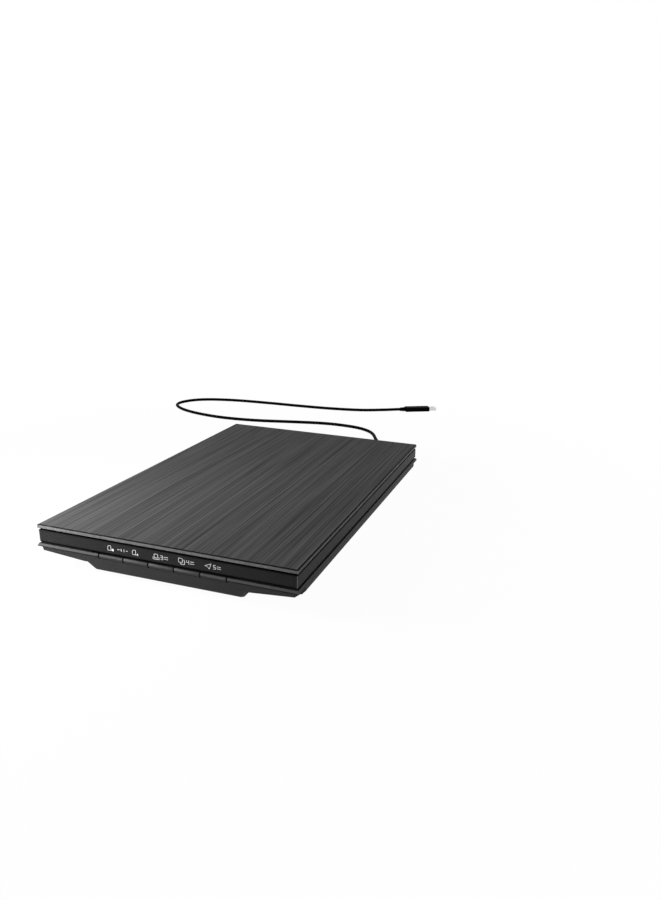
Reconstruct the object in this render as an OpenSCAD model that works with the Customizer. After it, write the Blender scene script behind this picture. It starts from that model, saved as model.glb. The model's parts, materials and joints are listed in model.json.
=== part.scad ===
// Slim flatbed document scanner with a lifting lid, five front keys and a data cable.
// Millimetres. X runs across the front, -Y is the front with the keys, +Z is up.
// The origin is on the table, under the middle of the case.

/* [Overall] */
// Width over the rim of the lower case
body_w = 250; // [225:1:280]
// Depth over the rim of the lower case
body_d = 367; // [330:1:400]
// Height from the table to the top of the lid
body_h = 42; // [38:0.5:48]

/* [Lid] */
// How far the lid stands back from the rim
lid_set = 0.7; // [0.3:0.1:1.2]
// Corner radius of the lid
lid_corner_r = 1.2; // [0.8:0.1:3]
// Height of the lid edge
lid_edge_h = 3.5; // [3.2:0.1:4.5]
// Wall of the lid cover
lid_wall = 1.6; // [1.2:0.1:2]
// Width of the bevel round the top of the lid
lid_bevel_w = 1.4; // [0.8:0.1:2.5]
// Height of the bevel round the top of the lid
lid_bevel_h = 1; // [0.5:0.1:1.5]
// Shadow gap between the lid edge and the upper case
lid_gap = 1.6; // [1:0.1:2]
// Distance of the lid tray from the edge of the lid
tray_inset = 5; // [4:0.5:8]
// Gap between the lid tray and the bezel
tray_lift = 0.6; // [0.5:0.05:0.9]
// Floor of the lid tray
tray_floor = 1.2; // [0.8:0.1:1.4]
// Wall of the ribs in the lid tray
tray_rib = 1.5; // [1:0.1:2.5]
// Thickness of the white sheet under the lid
sheet_t = 0.4; // [0.3:0.05:0.6]
// Distance of the document pad from the edge of the window
pad_margin = 1.5; // [1.2:0.1:3]
// Diameter of a lid bumper
bumper_d = 8; // [6:0.5:10]

/* [Case] */
// Height of the lower case rim over the table
rim_z = 24; // [23:0.5:25]
// Width of the bevel on the upper edge of the rim
rim_bevel = 1; // [0.4:0.1:1.2]
// Height of the bevel on the upper edge of the rim
rim_bevel_h = 1.8; // [1:0.1:2]
// Wall of both cases
case_wall = 2; // [1.6:0.1:2.4]
// How far the upper case stands back from the rim
band_inset = 1.4; // [1:0.1:1.8]
// Groove between the upper case and the rim
parting_gap = 0.6; // [0.3:0.1:1]
// Bevel on the upper edge of the upper case
band_bevel = 0.8; // [0.4:0.1:1.2]
// Bevel on the lower edge of the upper case
band_foot = 1.2; // [0.3:0.1:1.4]
// Corner radius of the upper case
corner_r = 1; // [0.6:0.1:3]
// Depth of the tongue that centres the upper case in the rim
tongue_h = 2; // [1.5:0.1:2.1]
// Underside of the tub over the table
keel_z = 4.5; // [4:0.25:5.5]
// Underside of the front lip beside the keel
wing_z = 13; // [11:0.2:14]
// Underside of the front lip at its ends
wing_end_z = 17.7; // [17:0.1:18.5]
// Underside of the side walls over the table
skirt_z = 17; // [16.5:0.25:18.5]
// Underside of the rim over the chamfered corners
corner_z = 21.3; // [20.8:0.1:21.4]
// Chamfer of the four lower corners, along the sides
corner_cut = 14; // [8:0.5:16]
// Chamfer of the four lower corners, along the front and the back
corner_cut_w = 5; // [3:0.5:8]
// Distance of the flat underside of the tub from the sides
tub_set = 20; // [17:0.5:25]
// Half width of the front keel at its bottom
keel_half_w = 73.5; // [70:0.5:75]
// How far the sides of the keel flare out to its top
keel_flare = 6.5; // [4:0.5:9]
// Chamfer of the front corners of the keel
keel_cut = 4; // [2:0.5:6]
// How far the front wall leans in from the rim to the underside
front_lean = 6.8; // [5:0.2:8]
// Where the flat underside of the tub starts, behind the front edge
tub_front_set = 35; // [32:0.5:40]

/* [Platen] */
// Distance of the scan window from the sides of the case
bezel_side = 15; // [14:0.5:19]
// Distance of the scan window from the front and the back of the case
bezel_end = 33.5; // [32.5:0.5:38]
// Thickness of the bezel round the window
bezel_t = 1.5; // [1.2:0.1:2]
// Bevel of the window edge
window_bevel = 1; // [0.5:0.1:1.4]
// Thickness of the platen glass
glass_t = 2.8; // [2.4:0.1:3]
// Thickness of the tape that holds the glass
tape_t = 0.2; // [0.1:0.05:0.3]
// Lap of the glass under the bezel at the sides
glass_lap = 6; // [4:0.5:7]
// Lap of the glass under the bezel at the front
glass_front_lap = 15; // [14:0.5:16]
// Width of the white calibration strip
strip_d = 10; // [6:0.5:11]
// Thickness of the calibration strip
strip_t = 0.2; // [0.1:0.05:0.3]

/* [Front keys] */
// Number of keys
key_count = 5; // [3:1:5]
// Distance between the middles of two keys
key_pitch = 24.6; // [22:0.2:25]
// Gap between two keys
key_gap = 1.3; // [0.6:0.1:1.5]
// Height of a key
key_h = 4.1; // [3.6:0.1:4.6]
// Travel of a key
key_travel = 0.7; // [0.4:0.1:0.8]
// Diameter of the stem that presses the switch
key_stem_d = 3.2; // [2.6:0.1:3.6]
// Depth of a switch
switch_depth = 3.2; // [2.8:0.1:3.4]
// Width of a switch
switch_w = 6; // [5:0.5:8]
// Thickness of the key circuit board
key_board_t = 1.2; // [0.8:0.1:1.4]
// Thickness of the front panel
panel_t = 1; // [0.7:0.1:1.2]
// Distance of the front panel from the ends of the band
panel_end = 3; // [2:0.5:6]

/* [Scan head] */
// How far the scan head reaches past the window on each side
head_over = 6; // [4:0.5:7]
// Depth of the scan head, front to back
head_d = 18; // [16:0.5:19]
// Gap between the scan head and the glass
head_gap = 0.8; // [0.6:0.1:1]
// Distance of the scan head at rest behind the front edge of the case
home_set = 26.5; // [26.5:0.1:27.5]
// Travel of the scan head beyond the length of the window
over_travel = 5; // [0:0.5:5]
// Room for the leaf springs under the scan head
spring_h = 1.3; // [1:0.1:1.6]
// Distance of the guide rod from the left end of the carriage
rod_end = 8; // [7:0.5:10]
// Distance of the rack's pitch line from the right end of the carriage
drive_end = 10; // [8:0.5:12]
// Depth of the carriage, front to back
carriage_d = 30; // [29.5:0.5:30]
// Wall of the carriage
carriage_wall = 1.6; // [1.2:0.1:1.8]
// Height of the cheeks that hold the scan head
cheek_h = 6; // [4:0.5:8]

/* [Drive] */
// Module of the gear teeth
tooth_m = 1; // [1:0.05:1.05]
// Teeth of the drive gear
idler_teeth = 16; // [16:2:18]
// Teeth of the motor pinion
pinion_teeth = 10; // [10:1:12]
// Play between the teeth
backlash = 0.2; // [0.1:0.05:0.3]
// Height of the gears
gear_h = 2.6; // [2:0.1:2.8]
// Place of the rack's pitch line
rack_x = 30; // [29:0.5:31]
// Width of the rack behind its teeth
rack_w = 5; // [4:0.5:6]
// Height of the rack
rack_h = 3.7; // [3.5:0.1:4]
// Diameter of the motor
motor_d = 20; // [18:0.5:20]
// Diameter of the motor shaft
shaft_d = 1.5; // [1.2:0.1:2]
// Diameter of the axle of the drive gear
axle_d = 2; // [1.5:0.1:3]
// Thickness of the motor bracket
bracket_t = 0.8; // [0.6:0.1:1]
// Diameter of the guide rod
rod_d = 6; // [5:0.1:6.2]
// Place of the guide rod across the case
rod_x = -38; // [-39:0.5:-36]
// Wall of the bushes on the rod
bush_wall = 1.4; // [1:0.1:1.5]
// Length of a bush
bush_l = 8; // [6:0.5:12]
// Wall of the carriage sleeve round the bushes
sleeve_wall = 1.2; // [1:0.1:1.4]

/* [Hinge] */
// Distance of the hinge legs from the sides of the case
hinge_set = 33; // [31:0.5:35]
// Width of a hinge leg
leg_w = 16; // [12:0.5:17]
// Thickness of a hinge leg
leg_t = 4; // [3:0.1:4.5]
// Gap between the hinge legs at rest and the floor of the case
leg_floor_gap = 3.8; // [2.8:0.1:9]
// Radius of the rear edge of the upper case, centred on the hinge
rear_r = 3.1; // [3:0.05:3.4]
// Diameter of the hinge pins
pin_d = 3; // [2.4:0.1:3.2]
// Width of a hinge ear on the lid
ear_t = 4; // [3:0.1:4.5]

/* [Electronics] */
// Distance of the data socket from the hinge leg beside it
port_set = 24; // [22:0.5:26]
// Height of the middle of the data socket
port_z = 17.5; // [16.5:0.25:18]
// Thickness of the main board
board_t = 1.6; // [1:0.1:1.8]
// Width of the ribbon to the scan head
ribbon_w = 12; // [8:0.5:12]
// Thickness of both flat cables
ribbon_t = 0.3; // [0.2:0.05:0.5]

/* [Feet and screws] */
// Diameter of a rubber foot
foot_d = 15; // [12:0.5:18]
// Depth of the recess for a foot
foot_recess = 0.8; // [0.5:0.1:1]
// Distance of the feet from the sides of the case
foot_set = 35; // [31:1:50]
// Distance of the front feet behind the front edge of the flat underside
front_foot_set = 18; // [14:1:40]
// Distance of the rear feet from the back of the case
rear_foot_set = 24; // [20:1:40]
// Shank diameter of the case screws
screw_d = 2.9; // [2.5:0.1:3]

/* [Cable] */
// Diameter of the data cable
cable_d = 4.7; // [4:0.1:5.3]
// Length of the moulded grip of the far plug
grip_l = 40; // [30:1:45]
// Width of the moulded grip of the far plug
grip_w = 14.5; // [13:0.5:18]
// Height of the moulded grip of the far plug
grip_h = 7.2; // [6.8:0.1:8.4]
// Length of both strain reliefs
relief_l = 10; // [6:0.5:10]
// Length of the moulded grip at the scanner
c_grip_l = 20; // [14:0.5:20]

/* [Clearances] */
// Gap round pieces that slide past each other
slide_gap = 0.3; // [0.2:0.05:0.4]
// Radial gap of a running shaft
run_gap = 0.05; // [0.03:0.01:0.08]
// Gap between a piece and the recess that holds it
seat_gap = 0.1; // [0.05:0.05:0.15]

/* [Hidden] */
$fn = 48;

// Levels, worked down from the lid
skirt_bottom = body_h - lid_edge_h;
bezel_top = skirt_bottom - lid_gap;
bezel_bottom = bezel_top - bezel_t;
tray_bottom = bezel_top + tray_lift;
tray_top = body_h - lid_wall;
glass_top = bezel_bottom - tape_t;
glass_bottom = glass_top - glass_t;
pad_bottom = glass_top + slide_gap;
band_bottom = rim_z + parting_gap;
floor_z = keel_z + case_wall;
sleeve_r = rod_d / 2 + bush_wall + sleeve_wall;
rod_z = floor_z + sleeve_r + 0.6;
deck_top = rod_z + sleeve_r;
deck_bottom = deck_top - carriage_wall;
head_bottom = deck_top + spring_h;
head_top = glass_bottom - head_gap;

// Plan values
half_w = body_w / 2;
half_d = body_d / 2;
lid_half_w = half_w - lid_set;
lid_half_d = half_d - lid_set;
band_half_w = half_w - band_inset;
band_half_d = half_d - band_inset;
window_w = body_w - 2 * bezel_side;
window_d = body_d - 2 * bezel_end;
head_l = window_w + 2 * head_over;
head_travel = window_d + over_travel;
home_y = -half_d + home_set;
tub_front_y = -half_d + tub_front_set;
tub_half_w = half_w - tub_set;
keel_top_half_w = keel_half_w + keel_flare;

// How far the front wall stands behind the front edge, per mm below the bevel of the rim
face_top = rim_z - rim_bevel_h;
lean_rate = front_lean / (face_top - keel_z);
function front_y(z) = -half_d + lean_rate * (face_top - z);

// Undersides of the side walls and of the front lip, the walls moved in by t
skirt_x = half_w - 1;
side_slope = (skirt_z - keel_z) / (skirt_x - tub_half_w);
function side_z(x, t) = skirt_z + (x - skirt_x) * side_slope + t * sqrt(1 + side_slope * side_slope);
function side_x(z, t) = skirt_x + (z - skirt_z - t * sqrt(1 + side_slope * side_slope)) / side_slope;
wing_slope = (wing_end_z - wing_z) / (half_w - keel_top_half_w);
function wing_under(x) = wing_z + wing_slope * (x - keel_top_half_w);

// Keys
key_bottom = rim_z - key_h;
key_wall = case_wall + 0.2;
key_flange_t = 1;
key_flange_drop = 1.8;
key_flange_y = front_y(key_bottom - key_flange_drop) + key_wall + slide_gap;
switch_y = key_flange_y + key_flange_t + key_travel + seat_gap;
key_board_y = switch_y + switch_depth;
key_board_half_w = key_count * key_pitch / 2 + 3.5;
key_board_z = [key_bottom - 2.5, rim_z - 0.4];
key_mid_z = (key_board_z[0] + key_board_z[1]) / 2 + 0.6;

// Drive train, which hangs under the carriage
gear_z = floor_z + 0.7;
rack_top = floor_z + rack_h;
bracket_z = rack_top + slide_gap;
motor_z = bracket_z + bracket_t;
idler_r = tooth_m * idler_teeth / 2;
pinion_r = tooth_m * pinion_teeth / 2;
idler_x = rack_x - idler_r;
motor_x = idler_x - idler_r - pinion_r;
motor_top = deck_top + 0.4;
addendum = 0.8 * tooth_m;
dedendum = 1.1 * tooth_m;
pressure_angle = 20;
carriage_x0 = rod_x - rod_end;
carriage_x1 = rack_x + drive_end;
cradle_l = 4.4;
carriage_front = home_y - carriage_d / 2;
rod_y0 = carriage_front - slide_gap - cradle_l;
rod_y1 = home_y + head_travel + carriage_d / 2 + slide_gap + cradle_l;

// Hinge
hinge_x = half_w - hinge_set;
hinge_y = band_half_d - rear_r;
hinge_z = bezel_top - rear_r;
knuckle_r = rear_r - 0.1;
ear_gap = 0.4;
pocket_half_w = leg_w / 2 + ear_gap + ear_t + 0.6;
pocket_y = hinge_y - 1 - leg_t - 0.8;
pocket_z = hinge_z - rear_r - 0.9;
leg_y = [hinge_y - 1 - leg_t, hinge_y - 1];
stop_h = 3;
sleeve_bottom = pocket_z - 4.2;
leg_bottom = floor_z + leg_floor_gap;

// Rack, which keeps to the right of the drive gear
rack_back = rack_x + dedendum + rack_w;
tab_l = 8;

// Electronics: the rear strip of the main board carries the socket, the front strip both flat cables
port_x = hinge_x - port_set;
board_top = port_z - 1.6;
flex_w = 6;
flex_x = rack_back + tab_l + 10;
ribbon_x = flex_x + 12;
board_left = 26;
board_right = 11;
board_rear_x = [port_x - board_left, port_x + board_right];
board_front_x = [flex_x - 4, ribbon_x + 13];
board_rear_d = 14.3;
board_front_d = 10;
board_back_y = half_d - case_wall - 1.2;
board_mid_y = board_back_y - board_rear_d;
board_front_y = board_mid_y - board_front_d;
socket_w = 8.9;
socket_h = 3.2;
tip_w = 8.2;
tip_h = 2.3;

// Fasteners: place, height of the seat under the head
front_screw = [half_w - 19, -half_d + 9];
rear_screw = [half_w - 13, half_d - 15.5];
boss_d = 7;
boss_drop = 2;
boss_z = rim_z - boss_drop;
boss_gap = 0.05;
screw_bite = 7;
head_d_screw = 5.6;
head_h_screw = 1.8;
front_seat = wing_under(front_screw[0]) + case_wall + 0.5;
rear_seat = side_z(rear_screw[0], case_wall) + 1.3;
foot_x = half_w - foot_set;
foot_y = [tub_front_y + front_foot_set, half_d - rear_foot_set];

// Route of the cable, from the strain relief at the scanner to the one at the far plug
cable_z = cable_d / 2 + 0.15;
c_grip_y = half_d + 0.6;
cable_y0 = c_grip_y + c_grip_l + relief_l;
far_plug = [16, 495, grip_h / 2 + 0.1];
far_turn = 29;
far_dir = [cos(far_turn), sin(far_turn), 0];
route = [
    [port_x, cable_y0, port_z], [port_x - 0.3, cable_y0 + 9, port_z - 0.4], [66, 241, 13.5], [60, 262, 7.6],
    [50, 281, 3.9], [39, 299, cable_z], [29, 318, cable_z], [21, 334, cable_z], [12, 346, cable_z],
    [-1, 356, cable_z], [-16, 362, cable_z], [-34, 365, cable_z], [-56, 366, cable_z], [-80, 363, cable_z],
    [-106, 357, cable_z], [-136, 349, cable_z], [-167, 341, cable_z], [-200, 336, cable_z],
    [-234, 335, cable_z], [-264, 339, cable_z], [-291, 346, cable_z], [-314, 356, cable_z],
    [-331, 368, cable_z], [-341, 380, cable_z], [-344, 394, cable_z], [-340, 408, cable_z],
    [-332, 420, cable_z], [-318, 431, cable_z], [-296, 440, cable_z], [-258, 448, cable_z],
    [-203, 452, cable_z], [-148, 454, cable_z], [-95, 458, cable_z], [-45, 468, cable_z], [-9, 483, 3],
    far_plug - 7 * far_dir, far_plug
];
cable_sides = 10;
rings_per_span = 2;

// Extrudes a flat (x, z) shape along Y
module extrude_y(y0, y1) {
    translate([0, y1, 0]) rotate([90, 0, 0]) linear_extrude(y1 - y0) children();
}

// Extrudes a flat (y, z) shape along X
module extrude_x(x0, x1) {
    translate([x0, 0, 0]) rotate([90, 0, 90]) linear_extrude(x1 - x0) children();
}

// Box between two corners
module block(low, high) {
    translate(low) cube(high - low);
}

// Flat rectangle with round corners, about the origin
module rounded_rect(w, d, r) {
    square([w - 2 * r, d], center = true);
    square([w, d - 2 * r], center = true);
    for (x = [-1, 1], y = [-1, 1]) {
        translate([x * (w / 2 - r), y * (d / 2 - r)]) circle(r);
    }
}

// Flat slot with round ends, about the origin
module stadium(w, h) {
    square([w - h, h], center = true);
    for (x = [-1, 1]) translate([x * (w - h) / 2, 0]) circle(h / 2);
}

// A right half outline with its mirror image
function both_sides(right) =
    concat(right, [for (i = [len(right) - 1:-1:0]) [-right[i][0], right[i][1]]]);

// Screw with a round head, head down, seated at the given place
module screw_up(place, seat, shank_d, shank_l, head_d, head_h) {
    translate([place[0], place[1], seat]) {
        cylinder(d = shank_d, h = shank_l);
        translate([0, 0, -head_h]) cylinder(d = head_d, h = head_h);
    }
}

// Screw with a round head, head up, seated at the given place
module screw_down(place, seat, shank_d, shank_l, head_d, head_h) {
    translate([place[0], place[1], seat]) {
        translate([0, 0, -shank_l]) cylinder(d = shank_d, h = shank_l);
        cylinder(d = head_d, h = head_h);
    }
}

// Places of the four case screws, as place and seat height
case_screw_places = [
    for (x = [-1, 1]) [[x * front_screw[0], front_screw[1]], front_seat],
    for (x = [-1, 1]) [[x * rear_screw[0], rear_screw[1]], rear_seat]
];
foot_places = [for (x = [-1, 1], y = foot_y) [x * foot_x, y]];

// Lower case: the outlines of its tub and of its front, moved in by a wall t
tub_slope = 0.48;
function tub_front(z, t) = tub_front_y - (z - keel_z - t * sqrt(1 + tub_slope * tub_slope)) / tub_slope;
rear_foot = 4.5;

function tub_sides(t, top) = both_sides([
    [half_w - t, top], [half_w - t, side_z(skirt_x, t) + 0.7], [skirt_x - t, side_z(skirt_x - t, t)],
    [side_x(keel_z + t, t), keel_z + t]
]);
function tub_length(t, top) = [
    [tub_front(top, t), top], [tub_front(keel_z + t, t), keel_z + t],
    [half_d - rear_foot - 0.6 * t, keel_z + t], [half_d - t, keel_z + rear_foot], [half_d - t, top]
];
function wing_sides(t, top) = both_sides([
    [half_w - t, top], [half_w - t, wing_end_z + t], [keel_top_half_w - 0.5 * t, wing_z + t]
]);
function keel_sides(t, top) = both_sides([
    [keel_top_half_w - 0.5 * t, top], [keel_top_half_w - 0.5 * t, wing_z + t],
    [keel_half_w + 0.8 - 0.8 * t, keel_z + 2.6 + 0.5 * t], [keel_half_w - 1.2 - 0.5 * t, keel_z + t]
]);
function front_length(t, top, rear) = [
    [front_y(top) + 1.06 * t, top], [front_y(keel_z + 2) + 1.06 * t, keel_z + 2 + 0.5 * t],
    [front_y(keel_z + 0.6) + 0.6 + 0.9 * t, keel_z + 0.6 + 0.8 * t],
        [front_y(keel_z) + 2 + 0.5 * t, keel_z + t],
    [rear, keel_z + t], [rear, top]
];

// Plan of the lower case with its chamfered corners, moved in by a wall t
module cut_corner_plan(t) {
    a = 1 / corner_cut_w;
    b = 1 / corner_cut;
    share = 1 - t * (a + b - sqrt(a * a + b * b));
    x = [half_w - t - share * corner_cut_w, half_w - t];
    y = [half_d - t - share * corner_cut, half_d - t];
    polygon(both_sides([[x[0], y[1]], [x[1], y[0]], [x[1], -y[0]], [x[0], -y[1]]]));
}

// Room behind the slanted chamfer of one front corner of the keel
keel_cut_slope = 0.85;
keel_cut_u = (keel_top_half_w - keel_cut - front_y(wing_z) - half_d) / sqrt(2);
module keel_corner(t) {
    u = keel_cut_u - t * sqrt(1 + keel_cut_slope * keel_cut_slope);
    translate([0, -half_d, 0]) rotate([0, 0, -45]) extrude_y(-body_w, body_w) polygon([
        [-body_w, 0], [u - keel_cut_slope * wing_z, 0], [u + keel_cut_slope * (body_h - wing_z), body_h],
            [-body_w, body_h]
    ]);
}

// Shape of the lower case, moved in by a wall t, up to a level
module tub_form(t, top) {
    intersection() {
        extrude_y(-half_d, half_d) polygon(tub_sides(t, top));
        extrude_x(-half_w, half_w) polygon(tub_length(t, top));
        linear_extrude(body_h) cut_corner_plan(t);
    }
}
module lip_form(t, top) {
    rear = tub_front_y + 6 * t;
    intersection() {
        union() {
            extrude_y(-half_d, rear) polygon(wing_sides(t, top));
            intersection() {
                extrude_y(-half_d, rear) polygon(keel_sides(t, top));
                keel_corner(t);
                mirror([1, 0, 0]) keel_corner(t);
            }
        }
        extrude_x(-half_w, half_w) polygon(front_length(t, top, rear));
        linear_extrude(body_h) cut_corner_plan(t);
    }
}

// Rim plate with its bevelled upper edge
module rim_form() {
    intersection() {
        extrude_y(-half_d, half_d) polygon(both_sides([
            [half_w - rim_bevel, rim_z], [half_w, face_top], [half_w, corner_z]
        ]));
        extrude_x(-half_w, half_w) polygon([
            [-half_d + rim_bevel, rim_z], [-half_d, face_top], [front_y(corner_z), corner_z],
            [half_d, corner_z], [half_d, face_top], [half_d - rim_bevel, rim_z]
        ]);
    }
}

// Floor of the rim over the chamfered corners
rim_floor = 0.5;
module lower_case_shell() {
    difference() {
        union() {
            tub_form(0, corner_z);
            lip_form(0, corner_z);
            rim_form();
        }
        tub_form(case_wall, corner_z + 1);
        lip_form(case_wall, corner_z + 1);
        block([-half_w + key_wall, front_y(corner_z + rim_floor) + key_wall, corner_z + rim_floor],
            [half_w - key_wall, half_d - key_wall, rim_z + 1]);
    }
}

// Upright block that holds one end of the guide rod
module rod_cradle(y0) {
    cradle_half_w = rod_d / 2 + 2.5;
    cradle_top = rod_z + rod_d / 2 - 0.4;
    difference() {
        block([rod_x - cradle_half_w, y0, floor_z - 0.5], [rod_x + cradle_half_w, y0 + cradle_l, cradle_top]);
        extrude_y(y0 - 1, y0 + cradle_l + 1) translate([rod_x, rod_z]) circle(d = rod_d + 2 * run_gap);
        block([rod_x - rod_d / 2 - run_gap, y0 - 1, rod_z],
            [rod_x + rod_d / 2 + run_gap, y0 + cradle_l + 1, body_h]);
    }
}

// Post with a groove for one end of the key board
key_post_w = 4;
module key_post(side) {
    x0 = key_board_half_w - 1;
    mirror([side < 0 ? 1 : 0, 0, 0]) {
        difference() {
            block([x0, key_board_y - 2.4, floor_z - 0.5],
                [x0 + key_post_w, key_board_y + key_board_t + 1.4, boss_z]);
            block([x0 - 1, key_board_y - seat_gap, key_board_z[0]],
                [x0 + 1 + seat_gap, key_board_y + key_board_t + seat_gap, body_h]);
        }
    }
}

board_holes = [
    [board_rear_x[0] + 4, board_back_y - 4], [board_rear_x[1] - 3, board_back_y - 4],
    [board_front_x[1] - 3, board_front_y + 3.5]
];
rack_y0 = home_y - idler_r - 2;
rack_y1 = home_y + head_travel + idler_r + 2;
tab_set = 20;
rack_tab_y = [rack_y0 + tab_set, (rack_y0 + rack_y1) / 2, rack_y1 - tab_set];
rack_hole_x = rack_back + tab_l / 2;
tab_h = 2;
rack_screw_d = 2.4;
rack_screw_l = 3.3;
rack_head_d = 4.6;
rack_head_h = 1.2;

module lower_case() {
    color("#3b3b3d") difference() {
        union() {
            lower_case_shell();
            for (s = case_screw_places) {
                translate([s[0][0], s[0][1], s[1] - 1.4]) cylinder(d = boss_d + 1, h = boss_z - s[1] + 1.4);
            }
            rod_cradle(rod_y0);
            rod_cradle(rod_y1 - cradle_l);
            for (side = [-1, 1]) key_post(side);
            for (p = board_holes) {
                translate([p[0], p[1], floor_z - 1]) cylinder(d = 6, h = board_top - board_t - floor_z + 1);
            }
            for (p = foot_places) translate([p[0], p[1], keel_z + 0.5]) cylinder(d = foot_d + 4, h = 2.4);
            // Ribs that locate the tabs of the rack
            for (y = rack_tab_y) {
                block([rack_back + tab_l + 0.4, y - 5, floor_z - 1],
                    [rack_back + tab_l + 1.8, y + 5, floor_z + 1.6]);
            }
        }
        // Opening for the keys in the front rim
        block([-key_count * key_pitch / 2 - key_gap / 2, -half_d - 1, key_bottom - slide_gap],
            [key_count * key_pitch / 2 + key_gap / 2, key_flange_y - 0.1, rim_z + 1]);
        // Screw holes with a recess for the head
        for (s = case_screw_places) {
            translate([s[0][0], s[0][1], 0]) {
                cylinder(d = screw_d + 0.3, h = body_h);
                cylinder(d = head_d_screw + 0.6, h = s[1]);
            }
        }
        for (p = board_holes) translate([p[0], p[1], floor_z]) cylinder(d = 2.2 + 2 * run_gap, h = body_h);
        for (y = rack_tab_y) {
            translate([rack_hole_x, y, floor_z - 1.5]) cylinder(d = rack_screw_d + 2 * run_gap, h = rack_h);
        }
        for (p = foot_places) translate([p[0], p[1], 0])
            cylinder(d = foot_d + 2 * seat_gap, h = keel_z + foot_recess);
        // Opening for the data socket
        extrude_y(half_d - key_wall - 1, half_d + 1) translate([port_x, port_z])
            stadium(socket_w + 0.5, socket_h + 0.5);
    }
}

// Upper case: the outside of the band, with bevels above and below and a round rear edge
module band_form() {
    b = band_bevel;
    foot_z = band_bottom + 1.4 * band_foot;
    intersection() {
        extrude_y(-band_half_d, band_half_d) polygon(both_sides([
            [band_half_w - b, bezel_top], [band_half_w - 0.3 * b, bezel_top - 0.3 * b],
                [band_half_w, bezel_top - b],
            [band_half_w, foot_z], [band_half_w - band_foot, band_bottom]
        ]));
        extrude_x(-band_half_w, band_half_w) union() {
            polygon([
                [-band_half_d + band_foot, band_bottom], [-band_half_d, foot_z],
                    [-band_half_d, bezel_top - b],
                [-band_half_d + 0.3 * b, bezel_top - 0.3 * b], [-band_half_d + b, bezel_top],
                [hinge_y, bezel_top], [hinge_y, hinge_z], [band_half_d, hinge_z],
                [band_half_d, foot_z], [band_half_d - band_foot, band_bottom]
            ]);
            translate([hinge_y, hinge_z]) circle(rear_r);
        }
        linear_extrude(body_h) rounded_rect(2 * band_half_w, 2 * band_half_d, corner_r);
    }
}

// Inside of the window, wider at the top
module window_form() {
    grow = window_bevel;
    low = bezel_bottom - 1;
    intersection() {
        extrude_y(-half_d, half_d) polygon(both_sides([
            [window_w / 2, low], [window_w / 2, bezel_top - grow], [window_w / 2 + grow + 1, bezel_top + 1]
        ]));
        extrude_x(-half_w, half_w) polygon(both_sides([
            [window_d / 2, low], [window_d / 2, bezel_top - grow], [window_d / 2 + grow + 1, bezel_top + 1]
        ]));
    }
}

pocket_wall = 1.4;
module hinge_pocket_body() {
    block([-pocket_half_w - pocket_wall, pocket_y - pocket_wall, pocket_z - pocket_wall],
        [pocket_half_w + pocket_wall, band_half_d - case_wall + 0.5, bezel_bottom + 0.5]);
    block([-leg_w / 2 - slide_gap - pocket_wall, leg_y[0] - slide_gap - pocket_wall, sleeve_bottom],
        [leg_w / 2 + slide_gap + pocket_wall, band_half_d - case_wall + 0.5, pocket_z - 0.5]);
}
module hinge_pocket_room() {
    block([-pocket_half_w, pocket_y, pocket_z], [pocket_half_w, half_d, body_h]);
    block([-leg_w / 2 - slide_gap, leg_y[0] - slide_gap, sleeve_bottom - 1],
        [leg_w / 2 + slide_gap, leg_y[1] + slide_gap, body_h]);
}

panel_half_w = band_half_w - panel_end;
panel_z = [band_bottom + 1.4 * band_foot + 0.4, bezel_top - band_bevel - 0.6];
tongue_t = 1.4;
ledge_top = band_bottom + 1.2;
tongue_x = half_w - key_wall - slide_gap;
tongue_y = [front_y(corner_z + rim_floor) + key_wall + slide_gap, half_d - key_wall - slide_gap];

module upper_case() {
    inner = [band_half_w - case_wall, band_half_d - case_wall];
    color("#2a2a2c") difference() {
        union() {
            difference() {
                band_form();
                block([-inner[0], -inner[1], 0], [inner[0], inner[1], bezel_bottom]);
            }
            // Tongue inside the rim, and the ledge that carries it
            difference() {
                union() {
                    block([-tongue_x, tongue_y[0], rim_z - tongue_h], [tongue_x, tongue_y[1], ledge_top]);
                    block([-inner[0] - 0.5, -inner[1] - 0.5, band_bottom],
                        [inner[0] + 0.5, inner[1] + 0.5, ledge_top]);
                }
                block([-tongue_x + tongue_t, tongue_y[0] + tongue_t, 0],
                    [tongue_x - tongue_t, tongue_y[1] - tongue_t, body_h]);
                block([-key_board_half_w - key_post_w, -half_d, 0],
                    [key_board_half_w + key_post_w, key_board_y + 2, band_bottom]);
            }
            for (s = case_screw_places) {
                translate([s[0][0], s[0][1], boss_z + boss_gap])
                    cylinder(d = boss_d, h = bezel_bottom - boss_z);
            }
            for (x = [-1, 1]) translate([x * hinge_x, 0, 0]) hinge_pocket_body();
            // Ribs that stiffen the bezel in front of and behind the glass
            for (y = [-window_d / 2 - glass_front_lap - 2.5, window_d / 2 + glass_lap + 3]) {
                block([-inner[0] - 0.5, y, glass_bottom],
                    [inner[0] + 0.5, y + case_wall - 0.5, bezel_bottom + 0.5]);
            }
        }
        window_form();
        for (s = case_screw_places) {
            translate([s[0][0], s[0][1], boss_z - 1])
                cylinder(d = screw_d + 2 * run_gap, h = screw_bite + boss_drop);
        }
        for (x = [-1, 1]) translate([x * hinge_x, 0, 0]) hinge_pocket_room();
        // Recess for the front panel
        block([-panel_half_w - seat_gap, -half_d, panel_z[0] - seat_gap],
            [panel_half_w + seat_gap, -band_half_d + panel_t, panel_z[1] + seat_gap]);
    }
}

module front_panel() {
    color("#1c1c1e") extrude_y(-band_half_d, -band_half_d + panel_t) {
        translate([0, (panel_z[0] + panel_z[1]) / 2])
            rounded_rect(2 * panel_half_w, panel_z[1] - panel_z[0], 0.6);
    }
}

glass_half_w = window_w / 2 + glass_lap;
glass_y = [-window_d / 2 - glass_front_lap, window_d / 2 + glass_lap];

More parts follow.
